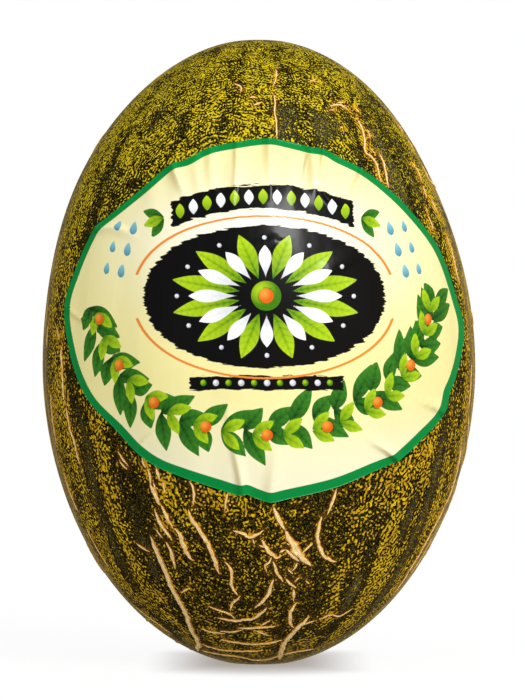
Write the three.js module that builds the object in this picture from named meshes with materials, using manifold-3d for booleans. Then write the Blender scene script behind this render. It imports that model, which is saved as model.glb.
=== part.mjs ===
// A piel de sapo melon standing on the flat spot at its lower end, with an oval film sticker on its front.
// Millimetres, +Z up, with the origin in the middle of that flat spot. The sticker faces -Y.
import * as THREE from "three";
import { mergeVertices } from "three/addons/utils/BufferGeometryUtils.js";
import Module from "manifold-3d";

const wasm = await Module();
wasm.setup();

// Driving sizes of the fruit
const radius = 83;
const widestHeight = 113.6;
const crownRise = 125.2;
const upperPower = 1.955;
const lowerPower = 1.936;
const footRadius = 12.5;
const leanSize = 1.6;
const leanHeight = 186;
const leanSpread = 38;

// The shallow dimple at the crown, with the scar that the stalk leaves
const dimpleDepth = 1;
const dimpleRadius = 6;
const scarRadius = 3.2;
const scarDepth = 2;
const scarRise = 0.5;
const scarSides = 12;

// Low furrows that run from end to end: [azimuth, half width] in degrees, 0 at the front and + to the right
const furrowDepth = 0.5;
const furrows = [
  [-168, 6], [-143, 4], [-122, 6], [-104, 4], [-80, 5], [-55, 4], [-38, 5.5], [-12, 4],
  [17, 8], [39, 4], [63, 3.5], [78, 3], [97, 5], [118, 4], [139, 6], [160, 4],
];

// How fine the faceted fruit is. Columns of points run up the middle of each furrow, up both its banks at
// this share of its half width, and up the ridge between it and the next.
const bankShare = 1.4;
const lowerRows = 14;
const upperRows = 16;

// The cork stands this far out of the rind and is rooted this deep in it
const corkRise = 0.75;
const corkRoot = 0.9;
const corkSunkTip = -0.15;
const corkTipWidth = 0.45;
const lowestCork = 0.3;

// The sticker
const stickerGap = 0.55;
const stickerThickness = 0.6;
const stickerSpokes = 60;
const stickerRings = 10;
const stickerBridging = 0.4;
const stickerMiddle = [2, 133];
const corkClearOfSticker = 2.4;

// The melon is seen from here in the front view that the lists of points below are given in. A point [x, z]
// of such a list is where a straight look from the eye passes the upright plane through the melon's middle,
// with z counted from this far below the flat spot.
const eye = new THREE.Vector3(1.35, -1200, 119.35);
const viewDrop = 1.85;

// A look is followed to the rind in this many steps, each this share of what is left. The furrows there are
// taken to be this share of their full depth.
const lookSteps = 40;
const lookShare = 0.6;
const meanFurrow = 0.4;

const degrees = Math.PI / 180;
const footTurn = Math.acos(footRadius / radius);
const lowerRise = widestHeight / Math.sin(footTurn) ** (2 / lowerPower);

// Sums the furrows at an azimuth in radians: 0 between them and 1 in the middle of one
function furrowAt(azimuth) {
  let sum = 0;
  for (const [middle, halfWidth] of furrows) {
    const away = Math.atan2(Math.sin(azimuth - middle * degrees), Math.cos(azimuth - middle * degrees));
    sum += Math.exp(-((away / (halfWidth * degrees)) ** 2));
  }
  return sum;
}

// Gives the distance from the axis, before the furrows, at a height above the flat spot
function profileRadius(z) {
  return radius * Math.cos(turnAt(z));
}

// The axis leans a little to the left round the shoulder
function lean(z) {
  return -leanSize * Math.exp(-(((z - leanHeight) / leanSpread) ** 2));
}

// A point of the rind. turn runs from -footTurn at the flat spot through 0 at the widest place to 90 degrees
// at the crown. proud moves the point out along the rind's own slope, and furrowShare makes the furrows
// shallower.
function rindPoint(azimuth, turn, proud = 0, furrowShare = 1) {
  const upper = turn >= 0;
  const rise = upper ? crownRise : lowerRise;
  const power = upper ? upperPower : lowerPower;
  const plain = radius * Math.cos(turn);
  const around = plain - furrowShare * furrowDepth * furrowAt(azimuth) * Math.cos(turn);
  const up = rise * Math.sin(Math.abs(turn)) ** (2 / power) * Math.sign(turn);
  const dimple = upper ? dimpleDepth * Math.exp(-((plain / dimpleRadius) ** 2)) : 0;
  const z = widestHeight + up - dimple;
  const slope = new THREE.Vector2(Math.cos(turn) * rise, Math.sin(turn) * radius).normalize();
  const r = around + proud * slope.x;
  const lifted = z + proud * slope.y;
  return new THREE.Vector3(lean(z) + r * Math.sin(azimuth), -r * Math.cos(azimuth), lifted);
}

// The height angle of the rind at a height above the flat spot
function turnAt(z) {
  if (z >= widestHeight) {
    return Math.asin(Math.min(1, (z - widestHeight) / crownRise) ** (upperPower / 2));
  }
  const sine = Math.min(1, (widestHeight - z) / lowerRise) ** (lowerPower / 2);
  return -Math.min(footTurn, Math.asin(sine));
}

// Follows a straight look through a front-view point to the rind, and gives its azimuth and height angle
function seenAt([x, heightInView]) {
  const z = heightInView - viewDrop;
  let depth = 0;
  let place = new THREE.Vector3(x, 0, z);
  for (let step = 0; step < lookSteps; step += 1) {
    const share = (depth - eye.y) / -eye.y;
    place = new THREE.Vector3(eye.x + (x - eye.x) * share, depth, eye.z + (z - eye.z) * share);
    const side = place.x - lean(place.z);
    const around = profileRadius(place.z) - furrowDepth * meanFurrow;
    const next = -Math.sqrt(Math.max(0, around * around - side * side));
    depth += lookShare * (next - depth);
  }
  const side = place.x - lean(place.z);
  return { azimuth: Math.atan2(side, -depth), turn: turnAt(place.z) };
}

// Joins points and triangles into a geometry that has positions alone
function geometryOf(points, triangles) {
  const geometry = new THREE.BufferGeometry();
  geometry.setAttribute("position", new THREE.Float32BufferAttribute(points.flatMap((p) => p.toArray()), 3));
  geometry.setIndex(triangles.flat());
  return geometry;
}

function solidOf(geometry) {
  const plain = geometry.clone();
  plain.deleteAttribute("normal");
  plain.deleteAttribute("uv");
  const merged = mergeVertices(plain, 1e-4);
  return new wasm.Manifold(new wasm.Mesh({
    numProp: 3,
    vertProperties: Float32Array.from(merged.attributes.position.array),
    triVerts: Uint32Array.from(merged.index.array),
  }));
}

function geometryFrom(solid) {
  const mesh = solid.getMesh();
  const geometry = new THREE.BufferGeometry();
  geometry.setAttribute("position", new THREE.BufferAttribute(Float32Array.from(mesh.vertProperties), 3));
  geometry.setIndex(new THREE.BufferAttribute(Uint32Array.from(mesh.triVerts), 1));
  return geometry;
}

// The fruit without its cork: rings of points from the flat spot to the crown, closed by a fan at each end
function fruitGeometry() {
  const azimuths = furrows.flatMap(([middle, halfWidth], index) => {
    const bank = middle + bankShare * halfWidth;
    const [next, nextHalfWidth] = furrows[(index + 1) % furrows.length];
    const nextBank = next - bankShare * nextHalfWidth + (next < middle ? 360 : 0);
    return [middle - bankShare * halfWidth, middle, bank, (bank + nextBank) / 2];
  });
  const columns = azimuths.length;
  const turns = [];
  for (let row = 0; row < lowerRows; row += 1) turns.push(-footTurn * (1 - row / lowerRows));
  for (let row = 0; row < upperRows; row += 1) turns.push((Math.PI / 2) * (row / upperRows));
  const points = [];
  const triangles = [];
  for (const turn of turns) {
    for (const azimuth of azimuths) points.push(rindPoint(azimuth * degrees, turn));
  }
  for (let column = 0; column < columns; column += 1) points[column].z = 0;
  for (let row = 0; row < turns.length - 1; row += 1) {
    for (let column = 0; column < columns; column += 1) {
      const next = (column + 1) % columns;
      const low = row * columns;
      const high = low + columns;
      triangles.push([low + column, low + next, high + next], [low + column, high + next, high + column]);
    }
  }
  const crown = points.push(rindPoint(0, Math.PI / 2)) - 1;
  const top = (turns.length - 1) * columns;
  for (let column = 0; column < columns; column += 1) {
    triangles.push([top + column, top + ((column + 1) % columns), crown]);
  }
  for (let column = 1; column < columns - 1; column += 1) triangles.push([0, column + 1, column]);
  return geometryOf(points, triangles);
}

// A ridge of cork along places on the rind: a three-sided bar with its crest above the rind, its two roots
// well under it, and both tips sunk
function ridgeGeometry(places, width) {
  const points = [];
  const triangles = [];
  const last = places.length - 1;
  const spread = (corkRise + corkRoot) / corkRise;
  places.forEach((place, step) => {
    const here = rindPoint(place.azimuth, place.turn);
    const outward = rindPoint(place.azimuth, place.turn, 1).sub(here);
    const before = places[Math.max(0, step - 1)];
    const after = places[Math.min(last, step + 1)];
    const along = rindPoint(after.azimuth, after.turn).sub(rindPoint(before.azimuth, before.turn));
    const across = along.cross(outward).normalize();
    const tip = step === 0 || step === last;
    const rise = tip ? corkSunkTip : corkRise;
    const half = 0.5 * spread * (tip ? Math.min(width, corkTipWidth) : width);
    const crest = here.clone().addScaledVector(outward, rise);
    crest.z = Math.max(crest.z, lowestCork);
    const root = here.clone().addScaledVector(outward, -corkRoot);
    const left = root.clone().addScaledVector(across, half);
    const right = root.clone().addScaledVector(across, -half);
    points.push(crest, left, right);
  });
  for (let step = 0; step < last; step += 1) {
    for (let side = 0; side < 3; side += 1) {
      const a = 3 * step + side;
      const b = 3 * step + ((side + 1) % 3);
      triangles.push([a, b + 3, a + 3], [a, b, b + 3]);
    }
  }
  triangles.push([0, 2, 1], [3 * last, 3 * last + 1, 3 * last + 2]);
  return geometryOf(points, triangles);
}

// Cork cracks on the front, each a width and its line of front-view points: the long ones and those that
// branch from them on the lower half
const lowerCracks = [
  [0.9, [[-54.5, 82.5], [-52.4, 79.2], [-50.3, 76.5]]],
  [0.8, [[-53.8, 78.5], [-52.2, 76.8], [-50.8, 75.3]]],
  [0.9, [[-45, 80], [-44.4, 77.8], [-43.5, 75.8]]],
  [2.2, [[-43, 76], [-41.5, 72.5], [-41.5, 69], [-39.5, 65.5], [-38, 61.5]]],
  [1.1, [[-39.5, 76.5], [-38.6, 73], [-38.2, 70.8]]],
  [0.7, [[-37, 71], [-36.4, 68.5], [-36, 66.2]]],
  [1.6, [[-37.5, 61.8], [-36, 58.5], [-34.5, 55.5], [-33, 52.8]]],
  [2.1, [[-32.4, 52.8], [-30, 49.8], [-28.8, 45.8], [-26.5, 41.5], [-25.3, 40.2]]],
  [1.5, [[-40.2, 60], [-38.5, 56], [-36.5, 52.5], [-34.5, 50], [-33.3, 47.8]]],
  [0.7, [[-40, 52.8], [-38.2, 50.4], [-36.7, 48.8]]],
  [1.0, [[-47.2, 47], [-45, 45.3], [-42, 43.6]]],
  [2.2, [[-41.8, 49.8], [-40.2, 46], [-38.5, 42], [-36, 36.5], [-33.5, 30], [-31, 25.5], [-28, 20], [-26, 14],
    [-23.2, 9], [-23.2, 5.6]]],
  [1.5, [[-35.6, 47.6], [-34, 44.5], [-33, 41], [-32, 37]]],
  [0.9, [[-27, 71], [-25.5, 69], [-25, 65.5], [-25.2, 61.5]]],
  [1.6, [[-27, 60], [-26, 56.5], [-23.5, 53], [-21, 49], [-18.8, 45], [-17, 40], [-15.3, 35]]],
  [0.9, [[-11.9, 66.8], [-12.8, 62.5], [-13.2, 59.5]]],
  [1.3, [[-10, 51.8], [-6, 50.6], [-3.6, 49.3], [-0.5, 50.5], [2, 52]]],
  [1.6, [[1, 48.5], [2.6, 45.5], [4.6, 43], [6.6, 41.3], [8.8, 42.3]]],
  [0.9, [[4.8, 41.8], [4, 39.6], [2.2, 38.2], [3, 35.8]]],
  [1.1, [[5.3, 40], [7, 35.5], [9.4, 32]]],
  [1.9, [[5.5, 61], [7.8, 55.5], [10, 52]]],
  [3.4, [[10, 52], [12, 48], [14.5, 44], [17, 40.8], [20, 38.3]]],
  [1.6, [[10, 44.6], [13, 42], [15.5, 40]]],
  [1.0, [[16.3, 42.8], [18.5, 45], [20.8, 47]]],
  [0.8, [[14.8, 39.5], [14, 37.8], [12.8, 36.3]]],
  [0.8, [[7.8, 43.4], [8.9, 44], [10, 44.5]]],
  [1.1, [[30, 68], [28.5, 63.5], [26.3, 57.8]]],
  [1.4, [[24.2, 57.5], [23, 53], [22.5, 49], [23.5, 45], [25.5, 41.5], [29.8, 39.8]]],
  [1.1, [[-13.3, 40], [-10.6, 36.5], [-10.6, 31], [-8.2, 26.8]]],
  [1.0, [[-7.2, 26.8], [-8, 25.8], [-10.3, 23.6], [-11.2, 20.8]]],
  [0.9, [[-29.8, 27.8], [-28.4, 28.8], [-26.2, 29.8]]],
  [0.8, [[-19.4, 22.9], [-15.5, 21.2], [-11, 19.6], [-9.3, 17.7]]],
  [1.3, [[-1.7, 22], [1, 24.3], [3.5, 27.3], [4.6, 30.5], [5.6, 33.3]]],
  [1.1, [[10.2, 33.4], [12, 31.4], [14.3, 29.8]]],
  [1.2, [[13.3, 29.5], [13.3, 27], [13.2, 24.8]]],
  [1.4, [[14.8, 24.4], [12.8, 22], [11.8, 18], [12.3, 15.8], [13.3, 14.4]]],
  [2.0, [[19.5, 19], [16.5, 16], [13, 12.5], [10, 9], [8.5, 5.5], [7.6, 2.2]]],
  [0.8, [[16.5, 15.5], [18.9, 16.4], [21.3, 17.2]]],
  [0.6, [[23, 17.6], [27, 19.4], [31, 19], [36, 22]]],
];

// Broken rings of cork round the flat spot, as far as the front shows them
const footRings = [
  [1.2, [[-16, 18.4], [-12.5, 17.6], [-9, 17.2], [-5, 17.6], [-2, 18.2], [0.5, 19.8], [3.1, 22.3]]],
  [0.9, [[-22.3, 14.2], [-18, 12.9], [-12.8, 12.3]]],
  [1.1, [[-8, 14.4], [-3, 14.4], [1, 14.6], [6.5, 15.2]]],
  [0.7, [[-2, 13.6], [1, 12.5], [3.7, 11.6]]],
  [1.0, [[-14.6, 10], [-9.5, 9], [-2, 8.2], [4, 8.7], [9, 9.8]]],
  [0.9, [[-22.2, 8.3], [-16, 6.4], [-8, 5.6], [-2, 5.6], [1.5, 5.8]]],
  [0.9, [[-22, 5.8], [-15, 4.4], [-8, 3.5], [-1.5, 2.2], [4, 2.6], [9, 4.2], [15, 5.5], [21, 6.3]]],
];

// Short flecks near the crown and thin lines on the right shoulder
const upperCracks = [
  [0.6, [[6.5, 229], [6.5, 225.5], [5.5, 223]]],
  [0.6, [[5.8, 219.5], [6.1, 216], [6, 212.5], [6.7, 208], [6.7, 204.7]]],
  [0.8, [[-9.8, 223.5], [-8.5, 223.2], [-6.8, 222], [-7.2, 220.3]]],
  [0.8, [[-3.6, 218], [-2.4, 218.4], [-1.3, 217.9]]],
  [0.8, [[-2.2, 215.3], [-0.5, 215.8], [1.2, 216.3]]],
  [0.7, [[19.3, 224.5], [20.3, 224.6], [21.8, 225.2]]],
  [0.9, [[27, 214.8], [29, 215.3], [32, 215], [34.5, 213.5]]],
  [0.8, [[36.8, 214.3], [37.6, 213.2], [38.5, 212.3]]],
  [0.9, [[37.8, 209.8], [39.4, 206.5], [40.4, 203], [41, 197], [43, 195.7], [45, 192.5]]],
  [1.0, [[46, 196.8], [47.4, 194], [48.3, 190], [48.8, 187]]],
  [0.8, [[58.7, 193.3], [60.5, 190.5], [61.8, 188], [62.5, 185.8]]],
  [0.8, [[63, 184.5], [64, 181], [64.8, 179.5]]],
  [0.8, [[65.2, 172.5], [66.3, 170], [67, 167]]],
  [0.8, [[65.8, 179.5], [67.5, 175.5], [68.8, 173.5]]],
  [0.8, [[53.3, 208], [54.4, 206.3], [55.5, 204.5]]],
  [0.8, [[57.3, 201.8], [58.6, 199.5], [59.8, 197.3]]],
  [0.8, [[62.7, 192.5], [65, 187.5], [67.8, 183]]],
  [0.8, [[72.8, 163], [74.6, 155.5], [76, 149]]],
];

// Long thin lines down both flanks
const flankCracks = [
  [0.9, [[-75.8, 120], [-75.4, 115], [-75.2, 109], [-74.6, 101]]],
  [0.9, [[-74, 99.5], [-73, 94], [-72.3, 90], [-70.8, 86], [-70, 81.5], [-68.8, 77.2]]],
  [0.9, [[77.5, 84], [76.5, 78], [75.5, 72.5], [74, 67.5], [71, 61]]],
  [0.9, [[71, 61], [68, 55], [65, 49.5], [61.5, 43], [57.5, 36.5], [54, 31], [51, 27]]],
];

// Random draws for the sides that the front view doesn't reach: the Park-Miller rule, started from a seed
const seed = 20611;
const drawFactor = 16807;
const drawModulus = 2147483647;
let drawState = seed;

function draw(low, high) {
  drawState = (drawState * drawFactor) % drawModulus;
  return low + (high - low) * (drawState / drawModulus);
}

// The unseen sides run from here round the back to the same azimuth on the other side, in degrees
const unseenFrom = 82;
const unseenTo = 278;

// Broken rings round the flat spot there: their distances from the axis, and the ranges of their pieces'
// lengths and gaps in degrees, of their widths, and of how far they drift and wander
const unseenRings = [24, 29.5, 34, 39.5, 45];
const ringSteps = 3;
const ringStart = [0, 15];
const ringLengths = [24, 52];
const ringGaps = [6, 20];
const ringWidths = [0.8, 1.4];
const ringDrift = [-3, 3];
const ringWander = [-0.7, 0.7];

// Lines up the rind there, low, high and on the flank: how many, the heights that they start between, their
// lengths and their steps. Then the ranges of their places in their shares of the round, of their widths, and
// of how many degrees they drift and wander at a step.
const unseenLines = [
  { count: 22, from: [14, 62], lengths: [9, 24], steps: 4 },
  { count: 12, from: [184, 220], lengths: [5, 13], steps: 3 },
  { count: 7, from: [90, 150], lengths: [16, 34], steps: 4 },
];
const lineStart = [0.1, 0.9];
const lineWidths = [0.8, 1.7];
const lineDrift = [-1.5, 1.5];
const lineWander = [-1.6, 1.6];

// Rings of cork round the flat spot on the unseen side: arcs that wander a little, with gaps between them
function unseenRingCracks() {
  const cracks = [];
  for (const ring of unseenRings) {
    let start = unseenFrom + draw(...ringStart);
    while (start + ringLengths[0] < unseenTo) {
      const length = Math.min(draw(...ringLengths), unseenTo - start);
      const width = draw(...ringWidths);
      const drift = draw(...ringDrift);
      const places = [];
      for (let step = 0; step <= ringSteps; step += 1) {
        const away = ring + drift * (step / ringSteps) + draw(...ringWander);
        places.push({
          azimuth: (start + length * (step / ringSteps)) * degrees,
          turn: -Math.acos(away / radius),
        });
      }
      cracks.push([width, places]);
      start += length + draw(...ringGaps);
    }
  }
  return cracks;
}

// Lines that run up the rind on the unseen side, each wandering sideways as it goes
function unseenLineCracks({ count, from, lengths, steps }) {
  const cracks = [];
  for (let index = 0; index < count; index += 1) {
    const share = (index + draw(...lineStart)) / count;
    let azimuth = unseenFrom + share * (unseenTo - unseenFrom);
    let z = draw(...from);
    const length = draw(...lengths);
    const width = draw(...lineWidths);
    const drift = draw(...lineDrift);
    const places = [];
    for (let step = 0; step <= steps; step += 1) {
      places.push({ azimuth: azimuth * degrees, turn: turnAt(z) });
      azimuth += drift + draw(...lineWander);
      z += length / steps;
    }
    cracks.push([width, places]);
  }
  return cracks;
}

// The sticker's outline, as front-view points clockwise from its top. Close points are where a fold pinches
// the edge, and the rest are joined by a smooth curve.
const stickerOutline = [
  [4.3, 202.7], [10, 201.7], [20, 199.3], [26, 198.2], [30, 195.8], [40, 190.7], [50, 183], [60, 172.8],
  [69.3, 160], [76.5, 140], [78.9, 130], [78, 120], [75.5, 110], [73.5, 105], [71.5, 97], [62.8, 87],
  [56, 80.3], [54, 78.6], [52.2, 77.9], [46.5, 75.5], [30, 68.5], [10, 63.6], [4.5, 62.5], [0, 63.8],
  [-5, 65.6], [-7.5, 65.3], [-15, 67.5], [-30, 72.5], [-40, 76.7], [-47.5, 82.2], [-55, 90.5], [-65, 101],
  [-69.8, 110.2], [-73.2, 122], [-74.9, 138], [-70.7, 152], [-65.5, 164], [-63, 168.4], [-57, 173.4],
  [-45.7, 182.7], [-35, 192], [-33.4, 193], [-28.4, 194.3], [-20, 198.7], [-10, 201],
];

// Folds in the film: from a front-view point on its edge to one inside it, with height and half width
const stickerFolds = [
  [[4.3, 202.7], [4, 188], 0.7, 2.2],
  [[26, 198.2], [24, 184], 0.5, 2.4],
  [[-33.4, 193], [-29, 182], 0.6, 1.8],
  [[-63, 168.4], [-52, 166], 0.8, 2.4],
  [[71.5, 97], [64, 101], 0.5, 2.4],
  [[54, 78.6], [46, 85], 0.7, 2],
  [[-6.5, 65.5], [-9, 84], 0.6, 2],
];

// How far the folds lift the film at a front-view point: a bump across each fold that fades towards its
// inner end
function foldLift([x, z]) {
  let lift = 0;
  for (const [[x0, z0], [x1, z1], rise, halfWidth] of stickerFolds) {
    const lengthSquared = (x1 - x0) ** 2 + (z1 - z0) ** 2;
    const share = THREE.MathUtils.clamp(((x - x0) * (x1 - x0) + (z - z0) * (z1 - z0)) / lengthSquared, 0, 1);
    const away = Math.hypot(x - x0 - share * (x1 - x0), z - z0 - share * (z1 - z0));
    lift += rise * (1 - share) * Math.exp(-((away / halfWidth) ** 2));
  }
  return lift;
}

// The sticker: spokes and rings from its middle to its outline, each point carried onto the rind and lifted
// by the gap, then closed with a second skin and a rim
function stickerGeometry() {
  const outline = new THREE.CatmullRomCurve3(
    stickerOutline.map(([x, z]) => new THREE.Vector3(x, 0, z)), true, "centripetal");
  const rim = outline.getSpacedPoints(stickerSpokes).slice(0, stickerSpokes);
  const frontPoints = [stickerMiddle];
  for (let ring = 1; ring <= stickerRings; ring += 1) {
    const share = ring / stickerRings;
    for (const point of rim) {
      frontPoints.push([
        stickerMiddle[0] + share * (point.x - stickerMiddle[0]),
        stickerMiddle[1] + share * (point.z - stickerMiddle[1]),
      ]);
    }
  }
  const skin = (proud) => frontPoints.map((point) => {
    const { azimuth, turn } = seenAt(point);
    return rindPoint(azimuth, turn, proud + foldLift(point), stickerBridging);
  });
  const points = [...skin(stickerGap + stickerThickness), ...skin(stickerGap)];
  const back = frontPoints.length;
  const triangles = [];
  const addBoth = (a, b, c) => triangles.push([a, b, c], [back + a, back + c, back + b]);
  for (let spoke = 0; spoke < stickerSpokes; spoke += 1) {
    const next = (spoke + 1) % stickerSpokes;
    addBoth(0, 1 + next, 1 + spoke);
    for (let ring = 0; ring < stickerRings - 1; ring += 1) {
      const inner = 1 + ring * stickerSpokes;
      const outer = inner + stickerSpokes;
      addBoth(inner + spoke, inner + next, outer + next);
      addBoth(inner + spoke, outer + next, outer + spoke);
    }
    const edge = 1 + (stickerRings - 1) * stickerSpokes;
    triangles.push([edge + spoke, edge + next, back + edge + next]);
    triangles.push([edge + spoke, back + edge + next, back + edge + spoke]);
  }
  return geometryOf(points, triangles);
}

// Says whether a front-view point is inside the sticker's outline or nearer to it than a margin
function nearSticker([x, z], margin) {
  let inside = false;
  let nearest = Infinity;
  stickerOutline.forEach(([x1, z1], index) => {
    const [x0, z0] = stickerOutline[(index + 1) % stickerOutline.length];
    if ((z0 > z) !== (z1 > z) && x < x0 + ((x1 - x0) * (z - z0)) / (z1 - z0)) inside = !inside;
    const lengthSquared = (x1 - x0) ** 2 + (z1 - z0) ** 2;
    const share = THREE.MathUtils.clamp(((x - x0) * (x1 - x0) + (z - z0) * (z1 - z0)) / lengthSquared, 0, 1);
    nearest = Math.min(nearest, Math.hypot(x - x0 - share * (x1 - x0), z - z0 - share * (z1 - z0)));
  });
  return inside || nearest < margin;
}

// The melon: the fruit, every ridge of cork on it and the scar in the crown's dimple, joined in one solid
function melonGeometry() {
  const ridges = [];
  for (const [width, line] of [...lowerCracks, ...footRings, ...upperCracks, ...flankCracks]) {
    const clear = line.filter((point) => !nearSticker(point, corkClearOfSticker));
    if (clear.length > 1) ridges.push(ridgeGeometry(clear.map(seenAt), width));
  }
  const unseen = [...unseenRingCracks(), ...unseenLines.flatMap(unseenLineCracks)];
  for (const [width, places] of unseen) ridges.push(ridgeGeometry(places, width));
  const scar = new THREE.CylinderGeometry(scarRadius, scarRadius, scarDepth + scarRise, scarSides);
  scar.rotateX(Math.PI / 2);
  const crown = rindPoint(0, Math.PI / 2);
  scar.translate(crown.x, crown.y, crown.z + (scarRise - scarDepth) / 2);
  let melon = solidOf(fruitGeometry()).add(solidOf(scar));
  for (const ridge of ridges) melon = melon.add(solidOf(ridge));
  return geometryFrom(melon);
}

function named(name, geometry, color, roughness) {
  const material = new THREE.MeshStandardMaterial({ color, roughness, metalness: 0 });
  const mesh = new THREE.Mesh(geometry, material);
  mesh.name = name;
  return mesh;
}

const rindColour = 0x6b5c14;
const rindRoughness = 0.42;
const filmColour = 0xf1ebb4;
const filmRoughness = 0.3;

const melonOnItsEnd = new THREE.Group();
melonOnItsEnd.add(named("melon", melonGeometry(), rindColour, rindRoughness));
melonOnItsEnd.add(named("label", stickerGeometry(), filmColour, filmRoughness));

export default melonOnItsEnd;
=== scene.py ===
"""A piel de sapo melon standing on its end, with an oval film sticker round its front.

The melon's own sizes are in millimetres, as a grower would give them, and every mesh is made in metres.
+Z is up, the sticker faces -Y, and the origin is the middle of the flat spot that the melon stands on.
"""

import bpy
import numpy as np
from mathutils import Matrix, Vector


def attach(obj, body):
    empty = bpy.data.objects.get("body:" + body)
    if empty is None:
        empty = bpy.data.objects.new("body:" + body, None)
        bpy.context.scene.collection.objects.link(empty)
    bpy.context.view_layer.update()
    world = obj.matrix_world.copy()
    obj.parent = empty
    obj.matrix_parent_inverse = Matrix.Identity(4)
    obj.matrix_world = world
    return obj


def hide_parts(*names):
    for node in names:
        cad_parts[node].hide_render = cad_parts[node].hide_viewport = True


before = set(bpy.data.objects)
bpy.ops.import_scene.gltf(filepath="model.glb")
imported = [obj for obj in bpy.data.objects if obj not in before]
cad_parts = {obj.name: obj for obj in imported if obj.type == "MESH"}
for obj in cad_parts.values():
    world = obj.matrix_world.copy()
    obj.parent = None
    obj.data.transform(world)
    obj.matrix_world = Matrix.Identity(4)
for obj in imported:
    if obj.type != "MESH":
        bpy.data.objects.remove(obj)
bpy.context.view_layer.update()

MM = 0.001
DEGREES = np.pi / 180

# Driving sizes of the fruit, in millimetres
RADIUS = 83.0
WIDEST_HEIGHT = 113.6
CROWN_RISE = 125.2
UPPER_POWER = 1.955
LOWER_POWER = 1.936
FOOT_RADIUS = 12.5
LEAN_SIZE = 1.6
LEAN_HEIGHT = 186
LEAN_SPREAD = 38
DIMPLE_DEPTH = 1.0
DIMPLE_RADIUS = 6
FOOT_TURN = np.arccos(FOOT_RADIUS / RADIUS)
LOWER_RISE = WIDEST_HEIGHT / np.sin(FOOT_TURN) ** (2 / LOWER_POWER)

# Low furrows that run from end to end: azimuth and half width in degrees, 0 at the front and + to the right
FURROW_DEPTH = 0.5
FURROWS = np.array([
    [-168, 6], [-143, 4], [-122, 6], [-104, 4], [-80, 5], [-55, 4], [-38, 5.5], [-12, 4],
    [17, 8], [39, 4], [63, 3.5], [78, 3], [97, 5], [118, 4], [139, 6], [160, 4],
]) * DEGREES

# The front view that the lists of points below are given in: a point (x, z) is where a straight look from
# the eye passes the upright plane through the melon's middle, with z counted from VIEW_DROP below the flat
# spot. The picture shows FRONT_TALL of that plane from its lower edge to its upper one.
EYE = np.array([1.35, -1200, 119.6])
VIEW_DROP = 1.6
FRONT_TALL = 269.0

# How a look is followed to the rind: in how many rounds, what share of the way each goes, and what share of a
# furrow's depth the rind lies below its ribs on average
LOOK_ROUNDS = 40
LOOK_SHARE = 0.6
LOOK_FURROW = 0.4


def short_way(azimuth, others):
    """The turn to an azimuth from each of the others, the short way round."""
    away = np.asarray(azimuth)[..., None] - others
    return np.arctan2(np.sin(away), np.cos(away))


def furrow_at(azimuth):
    """Bell curves round each furrow's azimuth, added up: 0 between furrows and 1 in the middle of one."""
    return np.exp(-((short_way(azimuth, FURROWS[:, 0]) / FURROWS[:, 1]) ** 2)).sum(-1)


def lean(z):
    """The axis leans a little to the left round the shoulder: one bell curve of the height."""
    return -LEAN_SIZE * np.exp(-(((z - LEAN_HEIGHT) / LEAN_SPREAD) ** 2))


def rind(azimuth, turn, proud=0.0):
    """A point of the rind, moved out by proud along its slope.

    The distance from the axis goes as the cosine of the turn. The height above or below the widest place goes
    as its sine to the power 2 over UPPER_POWER or LOWER_POWER, a little more pointed than an ellipse. Furrows
    and the dimple at the crown are taken off.
    """
    azimuth, turn, proud = np.broadcast_arrays(azimuth, turn, proud)
    upper = turn >= 0
    rise = np.where(upper, CROWN_RISE, LOWER_RISE)
    power = np.where(upper, 2 / UPPER_POWER, 2 / LOWER_POWER)
    plain = RADIUS * np.cos(turn)
    around = plain - FURROW_DEPTH * furrow_at(azimuth) * np.cos(turn)
    up = rise * np.sin(np.abs(turn)) ** power * np.sign(turn)
    dimple = np.where(upper, DIMPLE_DEPTH * np.exp(-((plain / DIMPLE_RADIUS) ** 2)), 0)
    z = WIDEST_HEIGHT + up - dimple
    slope = np.stack([np.cos(turn) * rise, np.sin(turn) * RADIUS])
    slope = slope / np.linalg.norm(slope, axis=0)
    r = around + proud * slope[0]
    return np.stack([lean(z) + r * np.sin(azimuth), -r * np.cos(azimuth), z + proud * slope[1]], -1)


def turn_at(z):
    """The turn of the rind at a height above the flat spot."""
    above = np.arcsin(np.clip((z - WIDEST_HEIGHT) / CROWN_RISE, 0, 1) ** (UPPER_POWER / 2))
    below = np.arcsin(np.clip((WIDEST_HEIGHT - z) / LOWER_RISE, 0, 1) ** (LOWER_POWER / 2))
    return np.where(z >= WIDEST_HEIGHT, above, -np.minimum(FOOT_TURN, below))


def seen_at(points):
    """Follows straight looks through front-view points to the rind: the azimuth and turn of each.

    The depth is moved a part of the way to the rind's own depth at that place, again and again.
    """
    points = np.asarray(points, float)
    x, z = points[..., 0], points[..., 1] - VIEW_DROP
    depth = np.zeros(x.shape)
    for _ in range(LOOK_ROUNDS):
        share = (depth - EYE[1]) / -EYE[1]
        side = EYE[0] + (x - EYE[0]) * share
        height = EYE[2] + (z - EYE[2]) * share
        around = RADIUS * np.cos(turn_at(height)) - LOOK_FURROW * FURROW_DEPTH
        side = side - lean(height)
        depth = depth + LOOK_SHARE * (-np.sqrt(np.maximum(0, around ** 2 - side ** 2)) - depth)
    return np.arctan2(side, -depth), turn_at(height)


# Meshes and lines

# A smooth line is first worked out at this many places between each two of its points, and a wandering value
# is the sum of this many waves
FINE_STEPS = 40
WANDER_WAVES = 5


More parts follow.
